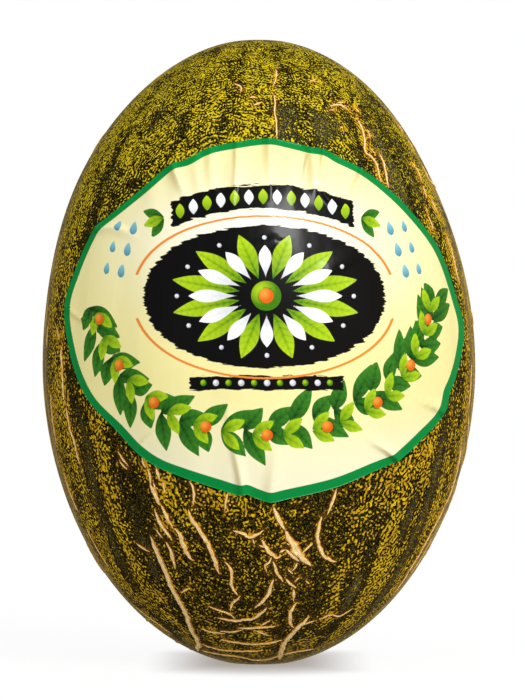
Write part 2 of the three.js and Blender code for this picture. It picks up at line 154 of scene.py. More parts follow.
def make_piece(name, points, quads, triangles, fields=None, flat=None, smooth=True):
    """One mesh object at the origin from points and a flat map in millimetres, with number fields."""
    mesh = bpy.data.meshes.new(name)
    corners = np.concatenate([np.ravel(quads), np.ravel(triangles)]).astype(np.int32)
    sizes = np.repeat([4, 3], [len(quads), len(triangles)])
    starts = (np.cumsum(sizes) - sizes).astype(np.int32)
    mesh.vertices.add(len(points))
    mesh.vertices.foreach_set("co", (np.asarray(points) * MM).astype(np.float32).ravel())
    mesh.loops.add(len(corners))
    mesh.loops.foreach_set("vertex_index", corners)
    mesh.polygons.add(len(sizes))
    mesh.polygons.foreach_set("loop_start", starts)
    mesh.polygons.foreach_set("use_smooth", np.full(len(sizes), smooth))
    mesh.update(calc_edges=True)
    for field, values in (fields or {}).items():
        data = mesh.attributes.new(field, "FLOAT", "POINT").data
        data.foreach_set("value", np.asarray(values, np.float32).ravel())
    if flat is not None:
        layer = mesh.uv_layers.new(name="flat")
        layer.data.foreach_set("uv", (np.asarray(flat) * MM)[corners].astype(np.float32).ravel())
    mesh.validate()
    piece = bpy.data.objects.new(name, mesh)
    bpy.context.scene.collection.objects.link(piece)
    return piece


def round_grid(rows, columns):
    """Quads between rings of points that close on themselves, numbered row by row."""
    row, column = np.meshgrid(np.arange(rows - 1), np.arange(columns), indexing="ij")
    near = row * columns + column
    beside = row * columns + (column + 1) % columns
    return np.stack([near, beside, beside + columns, near + columns], -1).reshape(-1, 4)


def fan(ring, centre):
    """Triangles from a ring of point numbers to one centre."""
    ring = np.asarray(ring)
    return np.stack([ring, np.roll(ring, -1), np.full(len(ring), centre)], -1)


def run_along(points):
    """How far along a line of points each of them lies."""
    return np.concatenate([[0], np.cumsum(np.linalg.norm(np.diff(points, axis=0), axis=1))])


def points_at(points, run, wanted):
    """Points of a line at the wanted lengths along it."""
    return np.stack([np.interp(wanted, run, part) for part in points.T], -1)


def smooth_line(points, spacing, closed=False):
    """A curve through given points, at even spacing: a cubic between each two, with the slope at each
    point taken from its neighbours."""
    points = np.asarray(points, float)
    if closed:
        points = np.concatenate([points[-2:], points, points[:3]])
    else:
        points = np.concatenate([[2 * points[0] - points[1]], points, [2 * points[-1] - points[-2]]])
    steps = np.linalg.norm(np.diff(points, axis=0), axis=1) ** 0.5
    knots = np.concatenate([[0], np.cumsum(np.maximum(steps, 1e-6))])
    slopes = np.gradient(points, knots, axis=0)
    first, last = (2, len(points) - 3) if closed else (1, len(points) - 2)
    at = np.linspace(knots[first], knots[last], FINE_STEPS * (last - first))
    segment = np.clip(np.searchsorted(knots, at, side="right") - 1, first, last - 1)
    length = (knots[segment + 1] - knots[segment])[:, None]
    t = (at - knots[segment])[:, None] / length
    fine = ((1 + 2 * t) * (1 - t) ** 2 * points[segment] + t * (1 - t) ** 2 * length * slopes[segment]
            + t * t * (3 - 2 * t) * points[segment + 1] + t * t * (t - 1) * length * slopes[segment + 1])
    run = run_along(fine)
    count = max(4, int(round(run[-1] / spacing)) + 1)
    line = points_at(fine, run, np.linspace(0, run[-1], count))
    return line[:-1] if closed else line


def wander(along, length, rng):
    """Smooth random values along a line, about -1 to 1: a few sine waves of about that length, added up."""
    waves = length * rng.uniform(0.6, 1.8, WANDER_WAVES)
    phases = rng.uniform(0, 2 * np.pi, WANDER_WAVES)
    return np.sin(2 * np.pi * along[..., None] / waves + phases).sum(-1) / WANDER_WAVES ** 0.5 / 1.3


# Colours and the nodes of materials

def paint(code):
    """A colour from its six-figure web code, in linear light."""
    parts = np.array([int(code[k:k + 2], 16) for k in (1, 3, 5)]) / 255
    linear = np.where(parts <= 0.04045, parts / 12.92, ((parts + 0.055) / 1.055) ** 2.4)
    return (*linear.tolist(), 1.0)


class Wiring:
    """Short ways to add and join the nodes of one material or group."""

    def __init__(self, tree):
        self.tree = tree

    def put(self, socket, value):
        """Joins a node's output to a socket, or sets the socket's own value, a colour by its web code."""
        if isinstance(value, bpy.types.NodeSocket):
            self.tree.links.new(value, socket)
        else:
            socket.default_value = paint(value) if isinstance(value, str) else value

    def fill(self, node, **inputs):
        """Puts a value or another node's output into each named input, with _ for a space in its name."""
        for name, value in inputs.items():
            self.put(node.inputs[name.replace("_", " ")], value)
        return node

    def add(self, kind, settings=None, **inputs):
        made = self.tree.nodes.new(kind)
        for name, value in (settings or {}).items():
            setattr(made, name, value)
        return self.fill(made, **inputs)

    def math(self, operation, *values, clamp=False):
        made = self.add("ShaderNodeMath", {"operation": operation, "use_clamp": clamp})
        for socket, value in zip(made.inputs, values):
            self.put(socket, value)
        return made.outputs[0]

    def times(self, first, second):
        return self.math("MULTIPLY", first, second)

    def plus(self, first, *others):
        for other in others:
            first = self.math("ADD", first, other)
        return first

    def step(self, value, low, high, out_low=0.0, out_high=1.0, way="SMOOTHSTEP"):
        """Goes smoothly from out_low to out_high as the value goes from low to high."""
        return self.add("ShaderNodeMapRange", {"interpolation_type": way}, Value=value, From_Min=low,
                        From_Max=high, To_Min=out_low, To_Max=out_high).outputs["Result"]

    def blend(self, share, first, second):
        made = self.add("ShaderNodeMix", {"data_type": "RGBA"}, Factor=share)
        self.put(made.inputs[6], first)
        self.put(made.inputs[7], second)
        return made.outputs[2]

    def field(self, name):
        return self.add("ShaderNodeAttribute", {"attribute_name": name}).outputs["Fac"]

    def noise(self, vector, scale, detail, roughness=0.5):
        return self.add("ShaderNodeTexNoise", Vector=vector, Scale=scale, Detail=detail,
                        Roughness=roughness).outputs["Fac"]

    def bump(self, height, strength, depth):
        """The normal of a bumpy surface, with its depth in millimetres."""
        made = self.add("ShaderNodeBump", Height=height, Strength=strength, Distance=depth * MM)
        return made.outputs["Normal"]

    def scaled(self, where, *scale):
        """A place in millimetres, stretched by a scale for each axis."""
        scale = tuple(part / MM for part in scale)
        return self.add("ShaderNodeMapping", Vector=where, Scale=scale).outputs["Vector"]

    def place(self, x=1.0, y=1.0, z=1.0):
        return self.scaled(self.add("ShaderNodeTexCoord").outputs["Object"], x, y, z)

    def flat(self, along, across):
        where = self.add("ShaderNodeUVMap", {"uv_map": "flat"}).outputs["UV"]
        return self.scaled(where, along, across, MM)

    def part(self, vector, axis):
        return self.add("ShaderNodeSeparateXYZ", Vector=vector).outputs[axis]

    def group(self, name, **inputs):
        return self.add("ShaderNodeGroup", {"node_tree": bpy.data.node_groups[name]}, **inputs).outputs


def new_material(name):
    material = bpy.data.materials.new(name)
    material.use_nodes = True
    material.node_tree.nodes.clear()
    wiring = Wiring(material.node_tree)
    shader = wiring.add("ShaderNodeBsdfPrincipled")
    wiring.add("ShaderNodeOutputMaterial", Surface=shader.outputs["BSDF"])
    return material, wiring, shader


def new_group(name, inputs, outputs):
    """A node group from its inputs and outputs, each a title and a kind of socket."""
    tree = bpy.data.node_groups.new(name, "ShaderNodeTree")
    for way, sockets in (("INPUT", inputs), ("OUTPUT", outputs)):
        for title, kind in sockets.items():
            tree.interface.new_socket(title, in_out=way, socket_type="NodeSocket" + kind)
    wiring = Wiring(tree)
    return wiring, wiring.add("NodeGroupInput").outputs, wiring.add("NodeGroupOutput")


def flecks_group():
    """Flecks: waves of one length in every direction, cut at a level that leaves the asked share covered.
    They make a maze at a half and lone dots at less."""
    inputs = {"Place": "Vector", "Waves": "Float", "Cover": "Float", "Edge": "Float"}
    w, given, out = new_group("flecks", inputs, {"Mask": "Float"})
    turned = w.add("ShaderNodeMapping", Vector=given["Place"], Rotation=(np.pi / 2, 0, 0)).outputs["Vector"]
    maze = w.add("ShaderNodeTexGabor", {"gabor_type": "3D"}, Vector=turned, Scale=0.32,
                 Frequency=given["Waves"], Anisotropy=0.0).outputs["Value"]
    level = w.step(given["Cover"], 0.0, 1.0, 0.72, 0.28, way="LINEAR")
    low = w.math("SUBTRACT", level, given["Edge"])
    high = w.plus(level, given["Edge"])
    w.fill(out, Mask=w.step(maze, low, high))


def grain_group():
    """Grain: a colour varied between two by noise that can be stretched, for rind and cork alike."""
    inputs = {"Place": "Vector", "Scale": "Float", "Dark": "Color", "Light": "Color"}
    w, given, out = new_group("grain", inputs, {"Color": "Color", "Mask": "Float"})
    mask = w.step(w.noise(given["Place"], given["Scale"], 4.0, 0.6), 0.3, 0.7)
    w.fill(out, Mask=mask, Color=w.blend(mask, given["Dark"], given["Light"]))


def rind_material():
    """Olive-black rind under ochre flecks: worms of yellow in bands, round dots between them, smooth
    grey-green stretches with hardly any, streaky tan ones on the flanks, and gold beside some of the cork."""
    material, w, shader = new_material("rind_skin")
    place = w.place(y=0.85, z=0.86)
    patches = w.noise(w.place(z=0.45), 0.11, 2.0, 0.6)
    streaks = w.noise(w.place(z=0.1), 0.2, 2.0, 0.6)
    grooves = w.noise(w.place(z=0.05), 0.6, 2.0, 0.6)
    clumps = w.noise(place, 0.34, 1.0)
    height = w.part(w.place(), "Z")
    near_cork = w.field("near_cork")
    gold = w.field("gold")

    # The share of yellow, made uneven by noise of three sizes and lowered where the rind is smooth
    uneven = w.plus(w.times(patches, 0.5), w.times(streaks, 0.85), w.times(clumps, 0.45), -0.9)
    bare = w.step(w.math("SUBTRACT", w.field("bare"), uneven), 0.1, 0.8)
    tan = w.plus(w.field("tan"), w.times(w.plus(streaks, -0.5), 1.5), w.plus(grooves, -0.5))
    tan = w.step(tan, 0.3, 1.05)
    smooth = w.math("MAXIMUM", bare, w.times(tan, 0.6))
    cover = w.math("MINIMUM", w.plus(w.field("band"), uneven), 0.56)
    cover = w.math("SUBTRACT", cover, w.times(smooth, 0.48), clamp=True)
    cover = w.plus(cover, w.times(gold, 0.3))

    # The flecks: worms, finer towards the crown, then dots and specks
    waves = w.step(height, 140.0, 210.0, 2.5, 3.5)
    worms = w.group("flecks", Place=place, Waves=waves, Cover=cover, Edge=0.025)["Mask"]
    worms = w.times(worms, w.step(w.noise(place, 1.1, 1.0), 0.38, 0.47, 0.1, 1.0))
    cells = w.add("ShaderNodeTexVoronoi", {"feature": "F1"}, Vector=place, Scale=0.86, Randomness=0.95)
    dots = w.step(cells.outputs["Distance"], 0.34, 0.24)
    dots = w.times(dots, w.times(w.field("dotted"), w.step(clumps, 0.3, 0.55)))
    specks = w.step(w.noise(place, 2.1, 0.0), 0.56, 0.66)
    specks = w.times(specks, w.math("MULTIPLY_ADD", bare, 0.3, 0.14))
    yellow = w.math("MAXIMUM", w.math("MAXIMUM", worms, w.times(dots, 0.85)), specks)

    # What lies between the flecks
    ground = w.group("grain", Place=place, Scale=0.25, Dark="#080702", Light="#191607")["Color"]
    ground = w.blend(bare, ground, "#323222")
    ground = w.blend(tan, ground, w.blend(w.step(grooves, 0.3, 0.66), "#3E310E", "#B4923A"))
    ground = w.blend(near_cork, ground, "#5A3B0C")

    # The yellow: browner in streaks, greener up the fruit and orange beside cork
    ochre = w.group("grain", Place=place, Scale=0.55, Dark="#A88204", Light="#ECC408")["Color"]
    lemon = w.blend(0.16, ochre, "#A0E810")
    ochre = w.blend(w.times(w.step(streaks, 0.46, 0.7), 0.7), ochre, "#BC8C1A")
    ochre = w.blend(w.times(w.step(height, 105.0, 198.0), 0.8), ochre, lemon)
    ochre = w.blend(w.math("MAXIMUM", near_cork, gold), ochre, "#DC9E18")

    pores = w.noise(place, 2.2, 3.0, 0.6)
    relief = w.plus(w.times(grooves, 2.0), w.times(pores, 0.6))
    w.fill(shader, Base_Color=w.blend(yellow, ground, ochre), Roughness=w.step(yellow, 0.0, 1.0, 0.36, 0.5),
           Specular_IOR_Level=0.24, Normal=w.bump(relief, 0.5, 0.25))
    return material


def cork_material():
    """Cork: cream in the middle of each crack with fibres along it, and orange-brown at its rims."""
    material, w, shader = new_material("cork")
    body = w.group("grain", Place=w.flat(0.35, 3.2), Scale=1.0, Dark="#F0BE66", Light="#FFF2BC")
    ragged = w.plus(w.field("rim"), w.times(w.plus(body["Mask"], -0.5), 0.2))
    orange = w.blend(w.step(ragged, 0.42, 0.68), body["Color"], "#D08A1E")
    w.fill(shader, Base_Color=w.blend(w.step(ragged, 0.76, 0.94), orange, "#74420A"), Roughness=0.72,
           Normal=w.bump(body["Mask"], 0.6, 0.15))
    return material


# Printed film, from the bottom layer up: field name, paint at its dark side, paint at its light side, and
# how ragged its edge is in millimetres
PRINT_LAYERS = [
    ("leaf_back", "#0E3A12", "#3F8A26", 0.0),
    ("ink", "#0A0A0C", "#141417", 1.8),
    ("leaf_front", "#3E7A0C", "#B8D81C", 0.0),
    ("white_petals", "#B9BCC4", "#FFFFFF", 0.0),
    ("orange", "#D9620E", "#F6A240", 0.0),
    ("teal", "#0C5C78", "#8FD0DC", 0.0),
    ("border", "#006A2A", "#009645", 0.0),
]

# Half the width over which an ink fades out at its edge, and how far past its edge an ink sets the shade
PRINT_EDGE = 0.12
SHADE_REACH = 0.35


def film_material():
    """Glossy printed film: cream ground with a white glow and painted shade in tan on the folds' left-facing
    slopes, flat inks laid over each other in the order of PRINT_LAYERS, and a green border."""
    material, w, shader = new_material("printed_film")
    streaks = w.noise(w.flat(0.12, 0.9), 1.0, 3.0, 0.6)
    shade = w.field("shade")
    colour = w.blend(w.field("glow"), "#EFE59C", "#F4F2E4")
    # Painted shade: the ground is darkened towards tan on fold slopes that face left, away from the key sun
    colour = w.blend(w.times(w.field("fold_shade"), 0.8), colour, "#C6AA54")
    for name, dark, light, ragged in PRINT_LAYERS:
        away = w.field(name)
        if ragged:
            away = w.plus(away, w.times(w.plus(streaks, -0.5), 2 * ragged))
        colour = w.blend(w.step(away, PRINT_EDGE, -PRINT_EDGE), colour, w.blend(shade, dark, light))
    crinkle = w.noise(w.place(z=0.3), 0.2, 2.0)
    w.fill(shader, Base_Color=colour, Roughness=0.32, Specular_IOR_Level=0.2, Coat_Weight=0.4,
           Coat_Roughness=0.14, Normal=w.bump(crinkle, 0.35, 0.6))
    return material


# The rind

RIND_COLUMNS = 480
FOOT_ROWS = 4
LOWER_ROWS = 88
UPPER_ROWS = 102

# How far the brown rims and the golden ones reach from the cork, and in how many parts the nearest is found
BROWN_REACH = 1.0
GOLD_REACH = 2.1
NEAREST_PARTS = 120

# Stretches with more or less yellow than the ribs and furrows give: azimuth and height of the middle, half
# width in degrees, half height in millimetres, degrees to the right for each millimetre up, and the change in
# the share of yellow
COVER_CHANGES = np.array([
    [-61, 72, 4, 30, 0, 0.14], [-57, 28, 5, 16, -0.2, 0.16], [-54, 62, 3, 34, 0, -0.1],
    [-46, 76, 3.5, 22, 0.05, 0.16], [-48, 45, 4, 18, 0, 0.14], [-43, 22, 4, 12, -0.1, 0.14],
    [-37, 60, 4, 30, 0, -0.08], [-33, 35, 2, 10, 0, 0.2], [-26, 68, 3, 5, 0, 0.34], [-21, 60, 2.5, 5, 0, 0.3],
    [-8, 65, 6, 5, 0, 0.36], [3, 60, 3, 6, 0, 0.25], [35, 75, 4, 18, 0, 0.16], [42, 62, 5, 24, 0, 0.3],
    [48, 30, 4.5, 20, -0.1, 0.28], [31, 30, 2.5, 16, -0.15, 0.22], [38.5, 31, 3.2, 9, 0, -0.4],
    [50.5, 58, 2.4, 11, 0, -0.45], [58, 60, 2.4, 60, 0, -0.42], [64, 60, 2.6, 60, 0, 0.3],
    [-55, 185, 2.5, 18, 0, -0.2], [-47, 181, 2, 14, 0, -0.16], [-27, 200, 3, 8, 0, -0.25],
    [-20, 198, 2, 6, 0, -0.16], [-60, 190, 2, 25, 0, 0.1], [-50, 195, 2, 20, 0, 0.1],
    [-40, 200, 3, 20, 0, 0.1], [53, 172, 3, 14, 0, -0.3], [56, 205, 3, 14, 0, -0.2], [0, 8, 40, 8, 0, 0.1],
    [-170, 60, 12, 14, 0, 0.2], [130, 40, 9, 30, 0, 0.2], [-128, 45, 8, 20, 0, 0.2],
    [105, 190, 8, 12, 0, -0.25], [170, 205, 7, 9, 0, -0.35], [-150, 190, 8, 12, 0, -0.25],
])

# Stretches with round dots on dark rind, and smooth ones with hardly any, in the same order
DOTTED = np.array([
    [-3, 38, 29, 27, 0, 1.0], [25, 60, 6, 18, 0, 0.7], [48, 192, 18, 22, 0, 0.7], [178, 42, 34, 26, 0, 0.9],
    [-100, 40, 12, 22, 0, 0.7], [95, 46, 14, 22, 0, 0.7],
])
BARE = np.array([
    [12, 203, 4.5, 8, 0, 0.6], [24, 201, 3.5, 8, 0, 0.55], [48, 191, 4, 18, 0, 0.7],
    [38.5, 31, 3.2, 9, 0, 0.6], [50.5, 58, 2.4, 11, 0, 0.6], [58, 60, 2.4, 60, 0, 0.55],
    [-54, 62, 3, 34, 0, 0.5], [-39, 45, 3, 20, 0, 0.3], [150, 200, 6, 12, 0, 0.7],
    [-115, 196, 7, 12, 0, 0.7], [112, 70, 4, 22, 0, 0.6], [-140, 80, 4, 20, 0, 0.6],
    [30, 202, 6, 7, 0, 0.5], [50, 178, 3, 14, 0, 0.5],
])

# Smooth tan stretches with streaks along them, in the same order
TAN = np.array([
    [-83, 108, 9, 118, 0, 0.72], [82, 118, 8, 130, 0, 0.78], [119, 100, 5, 90, 0, 0.65],
    [158, 120, 5, 95, 0, 0.6], [-122, 110, 6, 90, 0, 0.6], [-164, 100, 5, 90, 0, 0.65],
    [-58, 60, 3, 60, 0, 0.4], [63, 90, 3, 90, 0, 0.4], [-73, 32, 8, 30, 0, 0.5], [75, 30, 8, 28, 0, 0.5],
    [14, 4, 24, 6, 0, 0.6], [-46, 8, 12, 9, 0, 0.6],
])


def stretches(azimuth, z, table):
    """The sum of soft patches: each its amount times a flat-topped bell of how far off its middle a place is,
    in shares of its half width and half height. The middle leans with height."""
    above = z[..., None] - table[:, 1]
    away = short_way(azimuth, (table[:, 0] + table[:, 4] * above) * DEGREES) / DEGREES / table[:, 2]
    return (table[:, 5] * np.exp(-((away ** 2 + (above / table[:, 3]) ** 2) ** 1.5))).sum(-1)


def band_cover(azimuth, z):
    """The share of yellow: high on the ribs and low in the furrows, which wander a little with height. It is
    evened out towards the crown, a little lower on the lower half, and low where there are round dots."""
    drift = 1.6 * DEGREES * np.sin(z / 19 + 5 * azimuth)
    dark = np.clip(furrow_at(azimuth + drift), 0, 1)
    crown = np.clip((z - 160) / 35, 0, 1)
    low = np.clip((100 - z) / 30, 0, 1)
    cover = 0.485 + 0.03 * crown - 0.07 * low - 0.3 * dark * (1 - 0.45 * crown)
    dotted = np.clip(stretches(azimuth, z, DOTTED), 0, 1)
    return cover * (1 - 0.72 * dotted) + stretches(azimuth, z, COVER_CHANGES)


def make_rind(cork_lines):
    """The rind as rings of points from the middle of the flat spot to the crown, closed at both poles."""
    azimuth = np.linspace(0, 2 * np.pi, RIND_COLUMNS, endpoint=False)
    lower = -FOOT_TURN * (1 - np.arange(LOWER_ROWS) / LOWER_ROWS)
    upper = (np.pi / 2) * (np.arange(UPPER_ROWS) / UPPER_ROWS)
    rings = rind(azimuth, np.concatenate([lower, upper])[:, None])
    rings[0, :, 2] = 0
    foot = rings[0] * (np.arange(1, FOOT_ROWS) / FOOT_ROWS)[:, None, None]
    rings = np.concatenate([foot, rings])
    points = np.concatenate([rings.reshape(-1, 3), [[0, 0, 0]], rind(0.0, np.pi / 2)[None]])
    ring = np.arange(RIND_COLUMNS)
    high_ring = (len(rings) - 1) * RIND_COLUMNS + ring
    triangles = np.concatenate([fan(ring[::-1], len(points) - 2), fan(high_ring, len(points) - 1)])

    z = points[:, 2]
    around = np.arctan2(points[:, 0] - lean(z), -points[:, 1])
    lines = np.concatenate(cork_lines)
    nearest = np.concatenate([
        np.sqrt(((part[:, None] - lines) ** 2).sum(-1).min(1))
        for part in np.array_split(points.astype(np.float32), NEAREST_PARTS)])
    # Cork has golden rims on the right shoulder and down both flanks
    shoulder = np.clip((z - 125) / 40, 0, 1) * np.clip((around / DEGREES - 28) / 8, 0, 1)
    flank = 0.7 * np.exp(-(((np.abs(around) / DEGREES - 81) / 12) ** 4))
    fields = {name: np.clip(stretches(around, z, table), 0, 1)
              for name, table in (("dotted", DOTTED), ("bare", BARE), ("tan", TAN))}
    fields["band"] = band_cover(around, z)
    fields["near_cork"] = 0.85 * np.exp(-((nearest / BROWN_REACH) ** 2))
    fields["gold"] = 0.9 * np.exp(-((nearest / GOLD_REACH) ** 2)) * np.maximum(shoulder, flank)
    return make_piece("rind", points, round_grid(len(rings), RIND_COLUMNS), triangles, fields)


# Cork cracks on the front, each a width and its line of front-view points: the long ones and those that
# branch from them on the lower half
LOWER_CRACKS = [
    (0.9, [(-54.5, 82.5), (-52.4, 79.2), (-50.3, 76.5)]),
    (0.8, [(-53.8, 78.5), (-52.2, 76.8), (-50.8, 75.3)]),
    (0.9, [(-45, 80), (-44.4, 77.8), (-43.5, 75.8)]),
    (1.1, [(-43, 76), (-42, 73.2), (-41.5, 70.8), (-41.5, 68.6)]),
    (2.2, [(-41.8, 69.8), (-40.6, 67.2), (-39.3, 64.6), (-38, 61.5)]),
    (1.1, [(-39.5, 76.5), (-38.6, 73), (-38.2, 70.8)]),
    (0.7, [(-37, 71), (-36.4, 68.5), (-36, 66.2)]),
    (1.6, [(-37.5, 61.8), (-36, 58.5), (-34.5, 55.5), (-33, 52.8)]),
    (2.1, [(-32.4, 52.8), (-30, 49.8), (-28.8, 45.8), (-26.5, 41.5), (-25.3, 40.2)]),
    (1.5, [(-40.2, 60), (-38.5, 56), (-36.5, 52.5), (-34.5, 50), (-33.3, 47.8)]),
    (0.7, [(-40, 52.8), (-38.2, 50.4), (-36.7, 48.8)]),
    (1.0, [(-47.2, 47), (-45, 45.3), (-42, 43.6)]),
    (2.2, [(-41.8, 49.8), (-40.2, 46), (-38.5, 42), (-36, 36.5), (-33.5, 30), (-31, 25.5), (-28, 20),
           (-26, 14), (-23.2, 9), (-23.2, 5.6)]),
    (1.5, [(-35.6, 47.6), (-34, 44.5), (-33, 41), (-32, 37)]),
    (0.9, [(-27, 71), (-25.5, 69), (-25, 65.5), (-25.2, 61.5)]),
    (1.6, [(-27, 60), (-26, 56.5), (-23.5, 53), (-21, 49), (-18.8, 45), (-17, 40), (-15.3, 35)]),
    (0.9, [(-11.9, 66.8), (-12.8, 62.5), (-13.2, 59.5)]),
    (1.3, [(-10, 51.8), (-6, 50.6), (-3.6, 49.3), (-0.5, 50.5), (2, 52)]),
    (1.6, [(1, 48.5), (2.6, 45.5), (4.6, 43), (6.6, 41.3), (8.8, 42.3)]),
    (0.9, [(4.8, 41.8), (4, 39.6), (2.2, 38.2), (3, 35.8)]),
    (1.1, [(5.3, 40), (7, 35.5), (9.4, 32)]),
    (1.9, [(5.5, 61), (7.8, 55.5), (10, 52)]),
    (3.4, [(10, 52), (12, 48), (14.5, 44), (17, 40.8), (20, 38.3)]),
    (1.6, [(10, 44.6), (13, 42), (15.5, 40)]),
    (1.0, [(16.3, 42.8), (18.5, 45), (20.8, 47)]),
    (0.8, [(14.8, 39.5), (14, 37.8), (12.8, 36.3)]),
    (0.8, [(7.8, 43.4), (8.9, 44), (10, 44.5)]),
    (1.1, [(30, 68), (28.5, 63.5), (26.3, 57.8)]),
    (1.4, [(24.2, 57.5), (23, 53), (22.5, 49), (23.5, 45), (25.5, 41.5), (29.8, 39.8)]),
    (1.1, [(-13.3, 40), (-10.6, 36.5), (-10.6, 31), (-8.2, 26.8)]),
    (1.0, [(-7.2, 26.8), (-8, 25.8), (-10.3, 23.6), (-11.2, 20.8)]),
    (0.9, [(-29.8, 27.8), (-28.4, 28.8), (-26.2, 29.8)]),
    (0.8, [(-19.4, 22.9), (-15.5, 21.2), (-11, 19.6), (-9.3, 17.7)]),
    (1.3, [(-1.7, 22), (1, 24.3), (3.5, 27.3), (4.6, 30.5), (5.6, 33.3)]),
    (1.1, [(10.2, 33.4), (12, 31.4), (14.3, 29.8)]),
    (1.2, [(13.3, 29.5), (13.3, 27), (13.2, 24.8)]),
    (1.4, [(14.8, 24.4), (12.8, 22), (11.8, 18), (12.3, 15.8), (13.3, 14.4)]),
    (2.0, [(19.5, 19), (16.5, 16), (13, 12.5), (10, 9), (8.5, 5.5), (7.6, 2.2)]),
    (0.8, [(16.5, 15.5), (18.9, 16.4), (21.3, 17.2)]),
    (0.6, [(23, 17.6), (27, 19.4), (31, 19), (36, 22)]),
]

# Broken rings of cork round the flat spot, as far as the front shows them
FOOT_RINGS = [
    (1.2, [(-16, 18.4), (-12.5, 17.6), (-9, 17.2), (-5, 17.6), (-2, 18.2), (0.5, 19.8), (3.1, 22.3)]),
    (0.9, [(-22.3, 14.2), (-18, 12.9), (-12.8, 12.3)]),
    (1.1, [(-8, 14.4), (-3, 14.4), (1, 14.6), (6.5, 15.2)]),
    (0.7, [(-2, 13.6), (1, 12.5), (3.7, 11.6)]),
    (1.0, [(-14.6, 10), (-9.5, 9), (-2, 8.2), (4, 8.7), (9, 9.8)]),
    (0.9, [(-22.2, 8.3), (-16, 6.4), (-8, 5.6), (-2, 5.6), (1.5, 5.8)]),
    (0.9, [(-22, 5.8), (-15, 4.4), (-8, 3.5), (-1.5, 2.2), (4, 2.6), (9, 4.2), (15, 5.5), (21, 6.3)]),
]

# Short flecks near the crown and thin lines on the right shoulder
UPPER_CRACKS = [
    (0.6, [(6.5, 229), (6.5, 225.5), (5.5, 223)]),
    (0.6, [(5.8, 219.5), (6.1, 216), (6, 212.5), (6.7, 208), (6.7, 202.7)]),
    (0.8, [(-9.8, 223.5), (-8.5, 223.2), (-6.8, 222), (-7.2, 220.3)]),
    (0.8, [(-3.6, 218), (-2.4, 218.4), (-1.3, 217.9)]),
    (0.8, [(-2.2, 215.3), (-0.5, 215.8), (1.2, 216.3)]),
    (0.7, [(19.3, 224.5), (20.3, 224.6), (21.8, 225.2)]),
    (0.9, [(27, 214.8), (29, 215.3), (32, 215), (34.5, 213.5)]),
    (0.8, [(36.8, 214.3), (37.6, 213.2), (38.5, 212.3)]),
    (0.9, [(37.8, 209.8), (39.4, 206.5), (40.4, 203), (41, 197), (43, 195.7), (45, 192.5), (46.7, 185.8)]),
    (1.0, [(46, 196.8), (47.4, 194), (48.3, 190), (49.6, 183.3)]),
    (0.8, [(58.7, 193.3), (60.5, 190.5), (61.8, 188), (62.5, 185.8)]),
    (0.8, [(63, 184.5), (64, 181), (64.8, 179.5)]),
    (0.8, [(65.2, 172.5), (66.3, 170), (67, 167)]),
    (0.8, [(65.8, 179.5), (67.5, 175.5), (68.8, 173.5)]),
    (0.8, [(53.3, 208), (54.4, 206.3), (55.5, 204.5)]),
    (0.8, [(57.3, 201.8), (58.6, 199.5), (59.8, 197.3)]),
    (0.8, [(62.7, 192.5), (65, 187.5), (67.8, 183)]),
    (0.8, [(72.8, 163), (74.6, 155.5), (76, 149)]),
]

# Long thin lines down both flanks
FLANK_CRACKS = [
    (0.9, [(-75.8, 120), (-75.4, 115), (-75.2, 109), (-74.6, 101)]),
    (0.9, [(-74, 99.5), (-73, 94), (-72.3, 90), (-70.8, 86), (-70, 81.5), (-68.8, 77.2)]),
    (0.9, [(77.5, 84), (76.5, 78), (75.5, 72.5), (74, 67.5), (71, 61)]),
    (0.9, [(71, 61), (68, 55), (65, 49.5), (61.5, 43), (57.5, 36.5), (54, 31), (51, 27)]),
]

# Finer marks of the same cork that only the scene has
FINE_CRACKS = [
    (0.7, [(-40.6, 70.5), (-39.8, 67.5)]), (0.6, [(-2.3, 48.8), (-1.7, 46.5)]),
    (0.7, [(0, 46.2), (2.3, 45.2)]), (0.7, [(10.5, 46.8), (12.3, 46.2)]), (0.6, [(11, 37.2), (13, 35)]),
    (0.6, [(17.8, 32.6), (19.5, 31.2)]), (0.5, [(13.7, 32.3), (15.8, 33.9)]),
    (0.8, [(-15, 13.2), (-10, 12.9), (-6, 13.8)]),
    (0.8, [(0.2, 15), (4.4, 17.4)]), (0.8, [(30, 216.3), (32.5, 216.2)]), (0.6, [(26.8, 213.3), (29, 213.4)]),
    (0.5, [(31, 207), (32.3, 206.3)]), (0.5, [(41.5, 206), (42.8, 202)]), (0.5, [(42.3, 199), (44.8, 196.3)]),
    (0.7, [(64.2, 176.3), (64.8, 174)]), (0.7, [(71.8, 165), (72.6, 162)]), (0.6, [(75, 152.5), (77, 146)]),
    (0.7, [(81, 137), (82.2, 130)]), (0.8, [(-75.4, 123.3), (-75.8, 119), (-75.4, 115)]),
    (0.5, [(-77.4, 130), (-76.5, 125.5)]), (0.6, [(-81, 131), (-81.5, 122)]),
    (0.5, [(-47, 22.5), (-43, 19.2), (-38, 15.6), (-33.5, 12.2)]),
    (0.6, [(80.8, 96), (79.8, 86), (78, 76)]), (0.6, [(76.4, 68.4), (73.6, 61), (70.2, 54.4)]),
    (0.5, [(66.6, 49), (62.6, 42), (58.2, 35.6)]), (0.5, [(81.6, 116), (81.3, 108), (80.4, 99)]),
    (0.6, [(-79.8, 104), (-79.2, 96), (-77.8, 86)]), (0.6, [(-74.8, 74.4), (-72.2, 66), (-69, 58.6)]),
    (0.5, [(-66, 52.6), (-62, 45), (-57.6, 38)]),
]

# Random draws for the sides that the front view doesn't reach: the Park-Miller rule, started from a seed
DRAW_SEED = 20611
DRAW_FACTOR = 16807
DRAW_MODULUS = 2147483647

